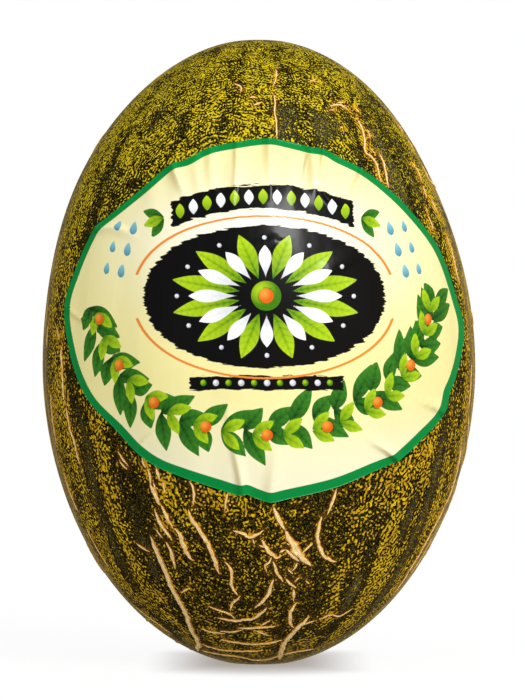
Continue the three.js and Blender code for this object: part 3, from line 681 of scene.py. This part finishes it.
# Those sides, in degrees, and on them the rings round the flat spot, by their distance from the axis, and the
# lines up the rind: how many, the heights that they start at, their lengths and how many steps they have
UNSEEN_FROM = 82
UNSEEN_TO = 278
UNSEEN_RINGS = (24, 29.5, 34, 39.5, 45)
RING_STEPS = 3
SHORTEST_RING = 24
LONGEST_RING = 52
UNSEEN_LINES = [(22, (14, 62), (9, 24), 4), (12, (184, 220), (5, 13), 3), (7, (90, 150), (16, 34), 4)]


def drawer():
    """Gives one random number after another between two limits."""
    state = DRAW_SEED

    def draw(low, high):
        nonlocal state
        state = (state * DRAW_FACTOR) % DRAW_MODULUS
        return low + (high - low) * (state / DRAW_MODULUS)

    return draw


def unseen_cracks():
    """Widths and lines, as azimuth and turn, of the cork on the unseen sides: broken rings round the flat
    spot, then lines that run up the rind and wander sideways."""
    draw = drawer()
    cracks = []
    for ring in UNSEEN_RINGS:
        start = UNSEEN_FROM + draw(0, 15)
        while start + SHORTEST_RING < UNSEEN_TO:
            length = min(draw(SHORTEST_RING, LONGEST_RING), UNSEEN_TO - start)
            width = draw(0.8, 1.4)
            drift = draw(-3, 3)
            line = []
            for step in range(RING_STEPS + 1):
                away = ring + drift * (step / RING_STEPS) + draw(-0.7, 0.7)
                line.append(((start + length * (step / RING_STEPS)) * DEGREES, -np.arccos(away / RADIUS)))
            cracks.append((width, line))
            start += length + draw(6, 20)
    for count, lows, lengths, steps in UNSEEN_LINES:
        for index in range(count):
            share = (index + draw(0.1, 0.9)) / count
            azimuth = UNSEEN_FROM + share * (UNSEEN_TO - UNSEEN_FROM)
            z = draw(*lows)
            length = draw(*lengths)
            width = draw(0.8, 1.7)
            drift = draw(-1.5, 1.5)
            line = []
            for _ in range(steps + 1):
                line.append((azimuth * DEGREES, float(turn_at(z))))
                azimuth += drift + draw(-1.6, 1.6)
                z += length / steps
            cracks.append((width, line))
    return cracks


# One cut through a crack, from rim to rim: how far across in half widths, and how high in rises. The last two
# points are its root in the rind.
CORK_ACROSS = np.array([-1.25, -1.0, -0.72, -0.42, -0.12, 0.12, 0.42, 0.72, 1.0, 1.25, 0.9, -0.9])
CORK_HEIGHT = np.array([-0.12, 0.16, 0.62, 0.95, 0.8, 0.82, 1.0, 0.6, 0.14, -0.12, -0.9, -0.9])
CORK_SPACING = 0.62
CORK_SEED = 411
CORK_RISE = 0.16
CORK_RISE_PER_WIDTH = 0.2
CORK_ROOT = 0.6
LOWEST_CORK = 0.12

# The long waves and the short ones along each ragged rim, how far they swing it, and the least half width
RIM_WAVES = ((5.0, 1.7), (4.4, 1.5))
RIM_SWING = 0.2
THINNEST_HALF = 0.03


def cork_bar(width, line, rng):
    """One crack as a closed bar along a line of azimuths and turns.

    The line is smoothed and shaken sideways, both its rims are ragged, its middle is split, and its ends
    taper to a point under the rind.
    """
    path = smooth_line(np.asarray(line, float) * RADIUS, CORK_SPACING) / RADIUS
    middle = rind(*path.T)
    outward = rind(*path.T, 1.0) - middle
    ahead = np.gradient(middle, axis=0)
    ahead /= np.linalg.norm(ahead, axis=1, keepdims=True)
    across = np.cross(ahead, outward)
    run = run_along(middle)
    end = np.minimum(run, run[-1] - run)
    taper = np.clip(end / min(0.45 * run[-1], 2.2 * width + 1.5), 0, 1) ** 0.6
    shake = (0.05 + 0.06 * width) * wander(run, 6.0, rng) * np.clip(end, 0, 1)
    middle = middle + across * shake[:, None]
    left, right = (
        0.5 * width * taper * (1 + RIM_SWING * wander(run, long, rng) + RIM_SWING * wander(run, short, rng))
        + THINNEST_HALF for long, short in RIM_WAVES)
    sides = CORK_ACROSS * np.where(CORK_ACROSS < 0, left[:, None], right[:, None])
    rise = (CORK_RISE + CORK_RISE_PER_WIDTH * width) * (0.25 + 0.75 * taper)
    split = 1 - 0.45 * np.clip(wander(run, 3.4, rng), 0, 1)[:, None] * (np.abs(CORK_ACROSS) < 0.3)
    lumps = 1 + 0.22 * wander(run[:, None] + 40 * CORK_ACROSS, 3.0, rng)
    height = CORK_HEIGHT * np.where(CORK_HEIGHT > 0, rise[:, None] * split * lumps, CORK_ROOT)
    points = middle[:, None] + across[:, None] * sides[..., None] + outward[:, None] * height[..., None]
    points[..., 2] = np.maximum(points[..., 2], LOWEST_CORK)
    rim = np.broadcast_to(np.abs(CORK_ACROSS) / CORK_ACROSS.max(), height.shape)
    flat = np.stack([np.broadcast_to(run[:, None], height.shape) + 50 * rng.uniform(), sides], -1)
    return points, rim, flat


def make_cork(cracks):
    """Every crack in one piece: closed bars of cork rooted in the rind, and the lines that they follow."""
    rng = np.random.default_rng(CORK_SEED)
    bars = [cork_bar(width, line, rng) for width, line in cracks]
    points, rim, flat = (np.concatenate([bar[index].reshape(-1, size) for bar in bars])
                         for index, size in enumerate((3, 1, 2)))
    count = len(CORK_ACROSS)
    cap = fan(np.arange(1, count), 0)[:-1]
    quads = []
    triangles = []
    first = 0
    for bar, *_ in bars:
        quads.append(first + round_grid(len(bar), count))
        triangles += [first + cap, first + (len(bar) - 1) * count + cap[:, ::-1]]
        first += len(bar) * count
    fields = {"rim": rim}
    piece = make_piece("cork_cracks", points, np.concatenate(quads), np.concatenate(triangles), fields, flat)
    return piece, [bar[:, 4].astype(np.float32) for bar, *_ in bars]


# The scar in the crown's dimple from its rim to its nub: distance from the middle, and height above the rind
SCAR_AWAY = np.array([3.6, 3.3, 2.9, 2.4, 1.9, 1.4, 0.9, 0.4])
SCAR_HEIGHT = np.array([-0.7, 0.0, 0.3, 0.26, 0.12, 0.15, 0.34, 0.42])
SCAR_NUB = 0.45
SCAR_SPOKES = 72
SCAR_SEED = 87


def make_stalk_scar():
    """The round scar in the crown's dimple: rings of a low profile with a rim, a bed and a nub, cracked along
    its spokes."""
    rng = np.random.default_rng(SCAR_SEED)
    azimuth = np.linspace(0, 2 * np.pi, SCAR_SPOKES, endpoint=False)
    away = SCAR_AWAY[:, None]
    r = away * (1 + 0.06 * wander(azimuth * 3, 2.1, rng))
    cracks = 0.07 * np.sin(9 * azimuth) + 0.06 * np.sin(17 * azimuth + 1)
    cracks = cracks * np.clip(away - 0.6, 0, 1) * (SCAR_HEIGHT > 0)[:, None]
    crown = rind(0.0, np.pi / 2)
    z = crown[2] + SCAR_HEIGHT[:, None] + cracks
    points = np.stack([crown[0] + r * np.sin(azimuth), -r * np.cos(azimuth), z], -1).reshape(-1, 3)
    points = np.concatenate([points, [crown + [0, 0, SCAR_NUB], crown + [0, 0, SCAR_HEIGHT[0]]]])
    rows = len(SCAR_AWAY)
    spokes = np.arange(SCAR_SPOKES)
    triangles = np.concatenate([
        fan((rows - 1) * SCAR_SPOKES + spokes, len(points) - 2), fan(spokes[::-1], len(points) - 1)])
    rim = np.repeat(np.interp(SCAR_AWAY, [0, SCAR_AWAY[0]], [0.2, 1.0]), SCAR_SPOKES)
    flat = np.stack(np.broadcast_arrays(away, azimuth * 2), -1).reshape(-1, 2)
    return make_piece("stalk_scar", points, round_grid(rows, SCAR_SPOKES), triangles,
                      {"rim": np.append(rim, [0.2, 1.0])}, np.concatenate([flat, [[0, 0], [0, 0]]]))


# The film sticker

# Its outline, as front-view points clockwise from its top. Close points are where a fold pinches the edge.
STICKER_OUTLINE = [
    (4.3, 202.7), (10, 201.7), (20, 199.3), (26, 198.2), (30, 195.8), (40, 190.7), (50, 183), (60, 172.8),
    (69.3, 160), (76.5, 140), (78.9, 130), (78, 120), (75.5, 110), (73.5, 105), (71.5, 97), (62.8, 87),
    (56, 80.3), (54, 78.6), (52.2, 77.9), (46.5, 75.5), (30, 68.5), (10, 63.6), (4.5, 62.5), (0, 63.8),
    (-5, 65.6), (-7.5, 65.3), (-15, 67.5), (-30, 72.5), (-40, 76.7), (-47.5, 82.2), (-55, 90.5), (-65, 101),
    (-69.8, 110.2), (-73.2, 122), (-74.9, 138), (-70.7, 152), (-65.5, 164), (-63, 168.4), (-57, 173.4),
    (-45.7, 182.7), (-35, 192), (-33.4, 193), (-28.4, 194.3), (-20, 198.7), (-10, 201),
]
STICKER_MIDDLE = np.array([2, 133])
STICKER_SPOKES = 600
STICKER_RINGS = 104
MERIDIAN_STEPS = 4000

# How far the film's two faces lie above the rind, and the rings that its underside keeps
FILM_TOP = 0.5
FILM_UNDER = 0.2
UNDER_RINGS = (13, 52, STICKER_RINGS - 1)

# Folds in the film: a front-view line from the edge inward, the height at its outer and inner end, and its
# half width, times one of FOLD_SIDES on each of its sides
FOLD_SIDES = (1.35, 0.75)
STICKER_FOLDS = [
    ([(-24.5, 196), (-24, 188), (-22.5, 179)], 0.91, 0.2, 2.2),
    ([(-18.3, 198.5), (-17.6, 188), (-15.8, 178)], 1, 0.26, 1.8),
    ([(-8.3, 201), (-8.6, 190), (-10, 177)], 1, 0.39, 0.9),
    ([(4.3, 202.7), (4.6, 192), (5, 181)], 1.6, 0.39, 1.6),
    ([(20.6, 199), (21.3, 191), (22.1, 181)], 2.1, 0.4, 2.0),
    ([(25.2, 197.8), (24.2, 190), (24.8, 183), (29, 177.3), (36, 176)], 1.7, 0.6, 1.0),
    ([(40, 190.7), (38.5, 186), (35, 178)], 2.0, 0.4, 1.4),
    ([(-33.4, 193), (-31.9, 189), (-28.5, 181)], 2, 0.26, 1.4),
    ([(-63, 168.4), (-56, 168.6), (-48, 165.5)], 2, 0.26, 1.7),
    ([(-74.9, 138), (-68, 133), (-60.3, 129)], 1.2, 0.39, 0.81),
    ([(71.5, 97), (67, 99.5), (62, 101)], 1.4, 0.13, 1.8),
    ([(54, 78.6), (49, 82.5), (43, 86)], 2.1, 0.13, 1.5),
    ([(-6.3, 65.4), (-7.6, 74), (-9.8, 84), (-12, 96)], 1.3, 0.33, 1.7),
    ([(4.5, 62.5), (5.5, 72), (7, 84)], 1.4, 0.13, 3.6),
    ([(-47.5, 82.2), (-43, 87), (-38, 91)], 1, 0.13, 1.6),
    ([(48, 170), (40, 160), (28, 152)], 0, 0.65, 3.1),
    ([(-20, 165), (-8, 160), (6, 163)], 0, 0.59, 3.1),
]

# The front-view height of the ripples under the film's upper edge
RIPPLE_HEIGHT = 189


def fold_lift(points):
    """How far the folds lift the film at front-view points: a ridge along each line, steeper on one side,
    whose height goes evenly from its outer end to its inner one, and low ripples under the upper edge."""
    x, z = points[..., 0], points[..., 1]
    lift = np.zeros(x.shape)
    for line, outer, inner, half_width in STICKER_FOLDS:
        line = smooth_line(line, 1.0)
        nearest = np.argmin((x[..., None] - line[:, 0]) ** 2 + (z[..., None] - line[:, 1]) ** 2, axis=-1)
        ahead = np.gradient(line, axis=0)[nearest]
        ahead /= np.linalg.norm(ahead, axis=-1, keepdims=True)
        dx = x - line[nearest, 0]
        dz = z - line[nearest, 1]
        side = dx * ahead[..., 1] - dz * ahead[..., 0]
        wide = half_width * np.where(side > 0, *FOLD_SIDES)
        share = nearest / (len(line) - 1)
        lift += (outer + (inner - outer) * share) * np.exp(-((np.hypot(dx, dz) / wide) ** 2))
    waves = np.sin(x / 1.7 + 0.9 * np.sin(z / 9)) * np.exp(-(((z - RIPPLE_HEIGHT) / 13) ** 2))
    return lift + 0.2 * (1 + waves) * np.exp(-(((z - RIPPLE_HEIGHT) / 20) ** 2))


def seen_from_eye(points):
    """The front-view point of each point in space: a straight look carried on to the plane through the
    middle."""
    share = (points[..., 1] - EYE[1]) / -EYE[1]
    x = EYE[0] + (points[..., 0] - EYE[0]) / share
    z = EYE[2] + (points[..., 2] - EYE[2]) / share
    return np.stack([x, z + VIEW_DROP], -1)


def disc(u, v, middle, radius):
    """How far places are outside of a round, below zero inside."""
    return np.hypot(u - middle[0], v - middle[1]) - radius


def leaf(u, v, base, angle, length, width, fattest=0.5):
    """A leaf from its base along an angle. Its half width is a bow: a half wave of its length, fattest at
    that share of it. Gives the distance from its edge, below zero inside, the share of its length, and how
    far a place is from its middle line."""
    along = ((u - base[0]) * np.cos(angle) + (v - base[1]) * np.sin(angle)) / length
    across = (v - base[1]) * np.cos(angle) - (u - base[0]) * np.sin(angle)
    share = np.clip(along, 0, 1)
    bow = np.sin(np.pi * share ** (np.log(0.5) / np.log(fattest)))
    return np.abs(across) - 0.5 * width * bow + length * np.abs(along - share), share, across


class Print:
    """The inks of the print as distances in millimetres from their edges, below zero inside, and one shade
    for all of them."""

    def __init__(self, u, v):
        self.u, self.v = u, v
        self.fields = {name: np.full(u.shape, 99.0) for name, *_ in PRINT_LAYERS}
        self.fields["shade"] = np.full(u.shape, 0.5)

    def lay(self, name, shape, shade=0.5):
        self.fields[name] = np.minimum(self.fields[name], shape)
        self.fields["shade"] = np.where(shape < SHADE_REACH, shade, self.fields["shade"])

    def lay_leaf(self, name, base, angle, length, width, fattest=0.5, vein=0.0):
        """A leaf that is lighter towards its tip, with a middle vein and slanting ones."""
        shape, share, across = leaf(self.u, self.v, base, angle, length, width, fattest)
        slanting = np.sin(2.4 * (share * length - 0.8 * np.abs(across))) > 0.6
        lines = np.exp(-((across / 0.45) ** 2)) + 0.5 * slanting
        self.lay(name, shape, np.clip(0.25 + 0.75 * share - vein * lines, 0, 1))

    def lay_disc(self, name, middle, radius):
        """A round with a light glint up and to the left."""
        glint = disc(self.u, self.v, (middle[0] - 0.3 * radius, middle[1] + 0.35 * radius), 0)
        self.lay(name, disc(self.u, self.v, middle, radius), np.clip(1 - glint / radius, 0, 1))


# The print on the flat film, in millimetres to the right of the melon's front line and above the height of
# the sticker's middle. The pairs are half widths and half heights.
PRINT_MIDDLE = np.array([3.0, 6.0])
OVAL = (46, 26)
OVAL_LINE = (51, 29.5)
ROSETTE = (1.45, 0.95)
ROSETTE_SPOKES = 12
ARCH = (92, 94)
ARCH_MIDDLE = -51
BAR_HEIGHT = -25.2
GARLAND_HEIGHT = 14
FRONT_GARLAND = (70, 58)
BACK_GARLAND = (73, 60)
BEADS = ("leaf_front", "white_petals")
BOTH_SIDES = (-1, 1)


def hung(half_turns, size):
    """Places along the lower part of an ellipse, each with its angle and the direction along the ellipse."""
    for angle in np.pi * half_turns:
        place = [PRINT_MIDDLE[0] + size[0] * np.cos(angle), GARLAND_HEIGHT + size[1] * np.sin(angle)]
        yield angle, place, np.arctan2(size[1] * np.cos(angle), -size[0] * np.sin(angle))


def print_fields(u, v, border):
    """A dark brushed oval with a rosette, an arch of beads over it, a bar of beads under it, a garland of
    leaves and berries hung round its lower side, and sprigs, drops and arcs between them."""
    ink = Print(u, v)
    middle, up = PRINT_MIDDLE
    aside = u - middle

    for index, (angle, root, ahead) in enumerate(hung(np.linspace(1.065, 1.935, 25), BACK_GARLAND)):
        root[1] -= 4.8 * np.sin(angle) * (1 - np.sin(2 * angle))
        for side in BOTH_SIDES:
            turn = ahead + side * (0.8 + 0.15 * np.sin(3 * index))
            ink.lay_leaf("leaf_back", root, turn, 13 + 3 * np.sin(2 * index + side), 6.2, 0.45, 0.35)
    ink.lay("ink", (np.hypot(aside / OVAL[0], (v - up) / OVAL[1]) - 1) * 28, 0.3)
    ink.lay("ink", np.maximum(np.abs(v - BAR_HEIGHT) - 2.5, np.abs(aside) - 28), 0.3)
    for side in BOTH_SIDES:
        for index, name in enumerate(("leaf_back", "leaf_front", "leaf_back")):
            turn = np.pi / 2 - side * (np.pi / 2 + 0.35 + 0.62 * (index - 1))
            ink.lay_leaf(name, (middle + side * 37, 35.5), turn, 9.5, 4.0, 0.5, 0.3)
    arch = np.hypot(aside / ARCH[0], (v - ARCH_MIDDLE) / ARCH[1]) - 1
    ink.lay("ink", np.maximum(np.abs(arch) * 93 - 4.6, np.abs(aside) - 34), 0.3)

    spokes = np.pi / ROSETTE_SPOKES * np.arange(2 * ROSETTE_SPOKES)
    rays = np.stack([np.cos(spokes), np.sin(spokes)], -1) * ROSETTE
    for petal, green in zip(rays[::2], rays[1::2]):
        ink.lay_leaf("leaf_front", PRINT_MIDDLE + 6.5 * green, np.arctan2(green[1], green[0]),
                     18 * np.hypot(*green), 6.4, 0.55, 0.3)
        ink.lay_leaf("white_petals", PRINT_MIDDLE + 7 * petal, np.arctan2(petal[1], petal[0]),
                     12.5 * np.hypot(*petal), 4.6, 0.62, 0.12)
        ink.lay_disc("white_petals", PRINT_MIDDLE + 22.5 * petal, 0.85)
    for _, root, ahead in hung(np.linspace(1.075, 1.925, 18), FRONT_GARLAND):
        for side in BOTH_SIDES:
            ink.lay_leaf("leaf_front", root, ahead + side * 0.62, 9.5, 4.2, 0.5, 0.25)
    for index, step in enumerate(5.1 * np.arange(-6, 7)):
        low = ARCH_MIDDLE + ARCH[1] * np.sqrt(1 - (step / ARCH[0]) ** 2) - 3.1
        ink.lay_leaf(BEADS[index % 2], (middle + step, low), np.pi / 2, 6.2, 3.4)
    for index, step in enumerate(4.6 * np.arange(-5, 6)):
        ink.lay_disc(BEADS[index % 2], (middle + step, BAR_HEIGHT), 1.15)
    ink.lay_disc("leaf_front", PRINT_MIDDLE, 5.4)

    across, rise = aside / OVAL_LINE[0], (v - up) / OVAL_LINE[1]
    from_top = np.abs(np.abs(np.arctan2(rise, across)) - np.pi / 2)
    line = np.abs(np.hypot(across, rise) - 1) * 43 - 0.55
    ink.lay("orange", np.maximum(line, 45 * (from_top - 1.3)))
    ink.lay_disc("orange", PRINT_MIDDLE, 2.7)
    for _, root, _ in hung(np.linspace(1.09, 1.91, 9), FRONT_GARLAND):
        ink.lay_disc("orange", root, 2.1)
    for side, row, place in np.ndindex(2, 3, 2):
        turn = BOTH_SIDES[side]
        root = (middle + turn * (57 + 7 * place - 3 * row), 13 + 8 * row + 1.4 * place)
        ink.lay_leaf("teal", root, np.pi / 2 + turn * 0.25, 5.8 - 0.8 * place, 3.3 - 0.5 * place, 0.33)
    ink.lay("border", border, 0.6)
    return ink.fields


# The white glow on the film, by its middle and its half width and half height on the flat film, and the
# height under which it shows again
GLOW_MIDDLE = (3, 26)
GLOW_SIZE = (52, 24)
LOW_GLOW = -44

# A fold's painted shade is darkest where the film rises by this much from so far to its left to as far to its
# right
FOLD_SHADE_RISE = 0.8
FOLD_SHADE_REACH = np.array([0.4, 0])


def film_grid():
    """The film in the front view: rings of points that grow from its middle to its outline, then the middle
    itself, and how far each point is inside of the border, which is widest at the bottom and narrowest at
    the sides."""
    outline = smooth_line(STICKER_OUTLINE, 0.5, closed=True)
    outline = np.vstack([outline, outline[:1]])
    run = run_along(outline)
    rim = points_at(outline, run, np.linspace(0, run[-1], STICKER_SPOKES, endpoint=False)) - STICKER_MIDDLE
    shares = np.arange(1, STICKER_RINGS + 1) / STICKER_RINGS
    front = np.concatenate([(rim * shares[:, None, None]).reshape(-1, 2), [[0, 0]]])
    reach = np.linalg.norm(rim, axis=1)
    from_rim = np.append(np.outer(1 - shares, reach), reach[0])
    angle = np.arctan2(front[:, 1], front[:, 0])
    return STICKER_MIDDLE + front, from_rim - (2.7 - 0.65 * np.sin(angle) - 0.5 * np.cos(2 * angle))


def make_sticker():
    """The film: its rings carried onto the rind, lifted by its folds and closed by a coarser underside and a
    rim. Its flat map goes round the fruit at each height and up its front line."""
    front, from_border = film_grid()
    lift = fold_lift(front)
    proud = rind(*seen_at(front), FILM_TOP + lift)
    azimuth, turn = seen_at(2 * front - seen_from_eye(proud))
    top_count = len(front)
    spokes = np.arange(STICKER_SPOKES)
    under = np.concatenate([spokes + ring * STICKER_SPOKES for ring in UNDER_RINGS] + [[top_count - 1]])
    keep = np.concatenate([np.arange(top_count), under])
    height = np.repeat([FILM_TOP, FILM_UNDER], [top_count, len(under)])
    points = rind(azimuth[keep], turn[keep], height + lift[keep])
    edge = spokes + (STICKER_RINGS - 1) * STICKER_SPOKES
    lower_edge = spokes + (len(UNDER_RINGS) - 1) * STICKER_SPOKES + top_count
    quads = np.concatenate([
        round_grid(STICKER_RINGS, STICKER_SPOKES)[:, ::-1],
        top_count + round_grid(len(UNDER_RINGS), STICKER_SPOKES),
        np.stack([np.roll(edge, -1), np.roll(lower_edge, -1), lower_edge, edge], -1)])
    triangles = np.concatenate([
        fan(spokes, top_count - 1), fan(top_count + spokes, len(points) - 1)[:, ::-1]])

    column = np.linspace(-FOOT_TURN, np.pi / 2, MERIDIAN_STEPS)
    arc = run_along(rind(0.0, column))
    u = azimuth * RADIUS * np.cos(turn)
    v = np.interp(turn, column, arc) - np.interp(turn_at(STICKER_MIDDLE[1]), column, arc)
    fields = print_fields(u, v, from_border)
    # Painted shade: slopes that rise to the right face left, away from the key sun, and get the tan tint
    rise = fold_lift(front + FOLD_SHADE_REACH) - fold_lift(front - FOLD_SHADE_REACH)
    fields["fold_shade"] = np.clip(rise / FOLD_SHADE_RISE, 0, 1)
    off = (np.stack([u, v], -1) - GLOW_MIDDLE) / GLOW_SIZE
    fields["glow"] = np.exp(-(off ** 2).sum(-1)) + 0.6 / (1 + np.exp((v - LOW_GLOW) / 6))
    fields = {name: values[keep] for name, values in fields.items()}
    return make_piece("sticker", points, quads, triangles, fields, np.stack([u, v], -1)[keep])


# Setting the scene: floor, light and camera

FLOOR_HALF = 6000.0
FLOOR_GLOW = 0.93


def make_floor():
    """A wide pale floor, level with the flat spot. Most of its light is its own glow, and a painted shadow
    close to the melon, darkest where ambient occlusion finds it near and fading out sideways, takes some of
    it away."""
    corners = FLOOR_HALF * np.array([(-1, -1, 0), (1, -1, 0), (1, 1, 0), (-1, 1, 0)])
    floor = make_piece("floor", corners, [[0, 1, 2, 3]], np.zeros((0, 3)), smooth=False)
    material, w, shader = new_material("pale_floor")
    pale = w.blend(w.noise(w.place(), 0.002, 2.0), (0.09, 0.09, 0.09, 1), (0.1, 0.1, 0.1, 1))
    # Painted shadow: the floor's glow is darkened towards brown-grey where the melon is near, but not far to
    # its sides
    near = w.add("ShaderNodeAmbientOcclusion", {"samples": 12}, Distance=0.026).outputs["AO"]
    beside = w.step(w.math("ABSOLUTE", w.part(w.place(), "X")), 12.0, 46.0)
    light = w.math("MAXIMUM", w.step(near, 0.0, 0.9), beside)
    w.fill(shader, Base_Color=pale, Roughness=0.8, Specular_IOR_Level=0.0, Emission_Strength=FLOOR_GLOW,
           Emission_Color=w.blend(light, (0.42, 0.38, 0.35, 1), (1, 1, 1, 1)))
    floor.visible_diffuse = False
    floor.visible_glossy = False
    floor.data.materials.append(material)


def aim(thing, place, at):
    """Puts a lamp at a place in metres and turns it to face a point."""
    thing.location = place
    thing.rotation_euler = (Vector(at) - Vector(place)).to_track_quat("-Z", "Y").to_euler()
    bpy.context.scene.collection.objects.link(thing)


def white_room():
    """A white room for the camera. As light it is dimmer behind the camera, to the left and low down, and
    glossy surfaces reflect only a warm glow straight behind the melon."""
    world = bpy.data.worlds.new("white_room")
    world.use_nodes = True
    w = Wiring(world.node_tree)
    x, y, z = w.add("ShaderNodeSeparateXYZ", Vector=w.add("ShaderNodeTexCoord").outputs["Generated"]).outputs
    soft = w.times(w.step(y, -0.85, 0.3, 0.35, 0.5), w.step(x, -0.9, 0.9, 0.85, 1.1))
    soft = w.times(soft, w.step(z, -0.3, 0.4, 0.8, 1.1))
    warm = w.times(w.plus(w.step(y, 0.84, 0.99, 0.0, 0.8), 0.1), w.step(x, -0.5, 0.5, 0.7, 1.35))
    path = w.add("ShaderNodeLightPath").outputs
    glossy = path["Is Glossy Ray"]
    strength = w.plus(w.times(soft, w.math("SUBTRACT", 1.0, glossy)), w.times(warm, glossy))
    w.fill(world.node_tree.nodes["Background"], Strength=w.math("MAXIMUM", strength, path["Is Camera Ray"]),
           Color=w.blend(glossy, (1, 1, 1, 1), (1, 0.78, 0.4, 1)))
    bpy.context.scene.world = world


# The soft suns from the right and the left, each with its place in metres and its strength, the point that
# they face, and the lamp that puts a small sheen on the film
SUNS = (("key", (1.25, -0.95, 0.55), 2.3), ("fill", (-0.95, -1.0, 0.3), 1.55))
SUN_ANGLE = 0.35
SUNS_FACE = (0, 0, 0.12)
SHEEN_SIZE = 0.3
SHEEN_POWER = 3
SHEEN_PLACE = (0.35, -0.9, 0.8)
SHEEN_FACES = (0, 0, 0.15)


def lamps():
    """Two soft suns that leave no reflection, and the lamp of the sheen."""
    for name, place, power in SUNS:
        sun = bpy.data.lights.new(name, "SUN")
        sun.angle = SUN_ANGLE
        sun.energy = power
        lamp = bpy.data.objects.new(name, sun)
        lamp.visible_glossy = False
        aim(lamp, place, SUNS_FACE)
    box = bpy.data.lights.new("glow", "AREA")
    box.size = SHEEN_SIZE
    box.energy = SHEEN_POWER
    aim(bpy.data.objects.new("glow", box), SHEEN_PLACE, SHEEN_FACES)


def front_camera():
    """A camera at the eye that looks straight along +Y and shows FRONT_TALL from top to bottom."""
    lens = bpy.data.cameras.new("front_view")
    lens.sensor_fit = "VERTICAL"
    lens.sensor_height = 36
    lens.lens = lens.sensor_height * -EYE[1] / FRONT_TALL
    lens.clip_start = 0.05
    lens.clip_end = 50
    camera = bpy.data.objects.new("front_view", lens)
    camera.location = EYE * MM
    camera.rotation_euler = (np.pi / 2, 0, 0)
    bpy.context.scene.collection.objects.link(camera)
    bpy.context.scene.camera = camera
    bpy.context.scene.view_settings.view_transform = "Standard"


def dress(piece, material, slot, *nodes):
    """Gives a piece its material and its body, and says which solids it stands for. The slot is not used."""
    piece.data.materials.append(material)
    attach(piece, "root")
    if nodes:
        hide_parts(*nodes)


flecks_group()
grain_group()
white_room()
lamps()
front_camera()
make_floor()

front_cracks = [(width, np.stack(seen_at(line), -1))
                for width, line in LOWER_CRACKS + FOOT_RINGS + UPPER_CRACKS + FLANK_CRACKS + FINE_CRACKS]
cork, cork_lines = make_cork(front_cracks + unseen_cracks())
cork_finish = cork_material()
dress(make_rind(cork_lines), rind_material(), "rind", "melon")
dress(cork, cork_finish, "rind")
dress(make_stalk_scar(), cork_finish, "rind")
dress(make_sticker(), film_material(), "sticker_film", "label")
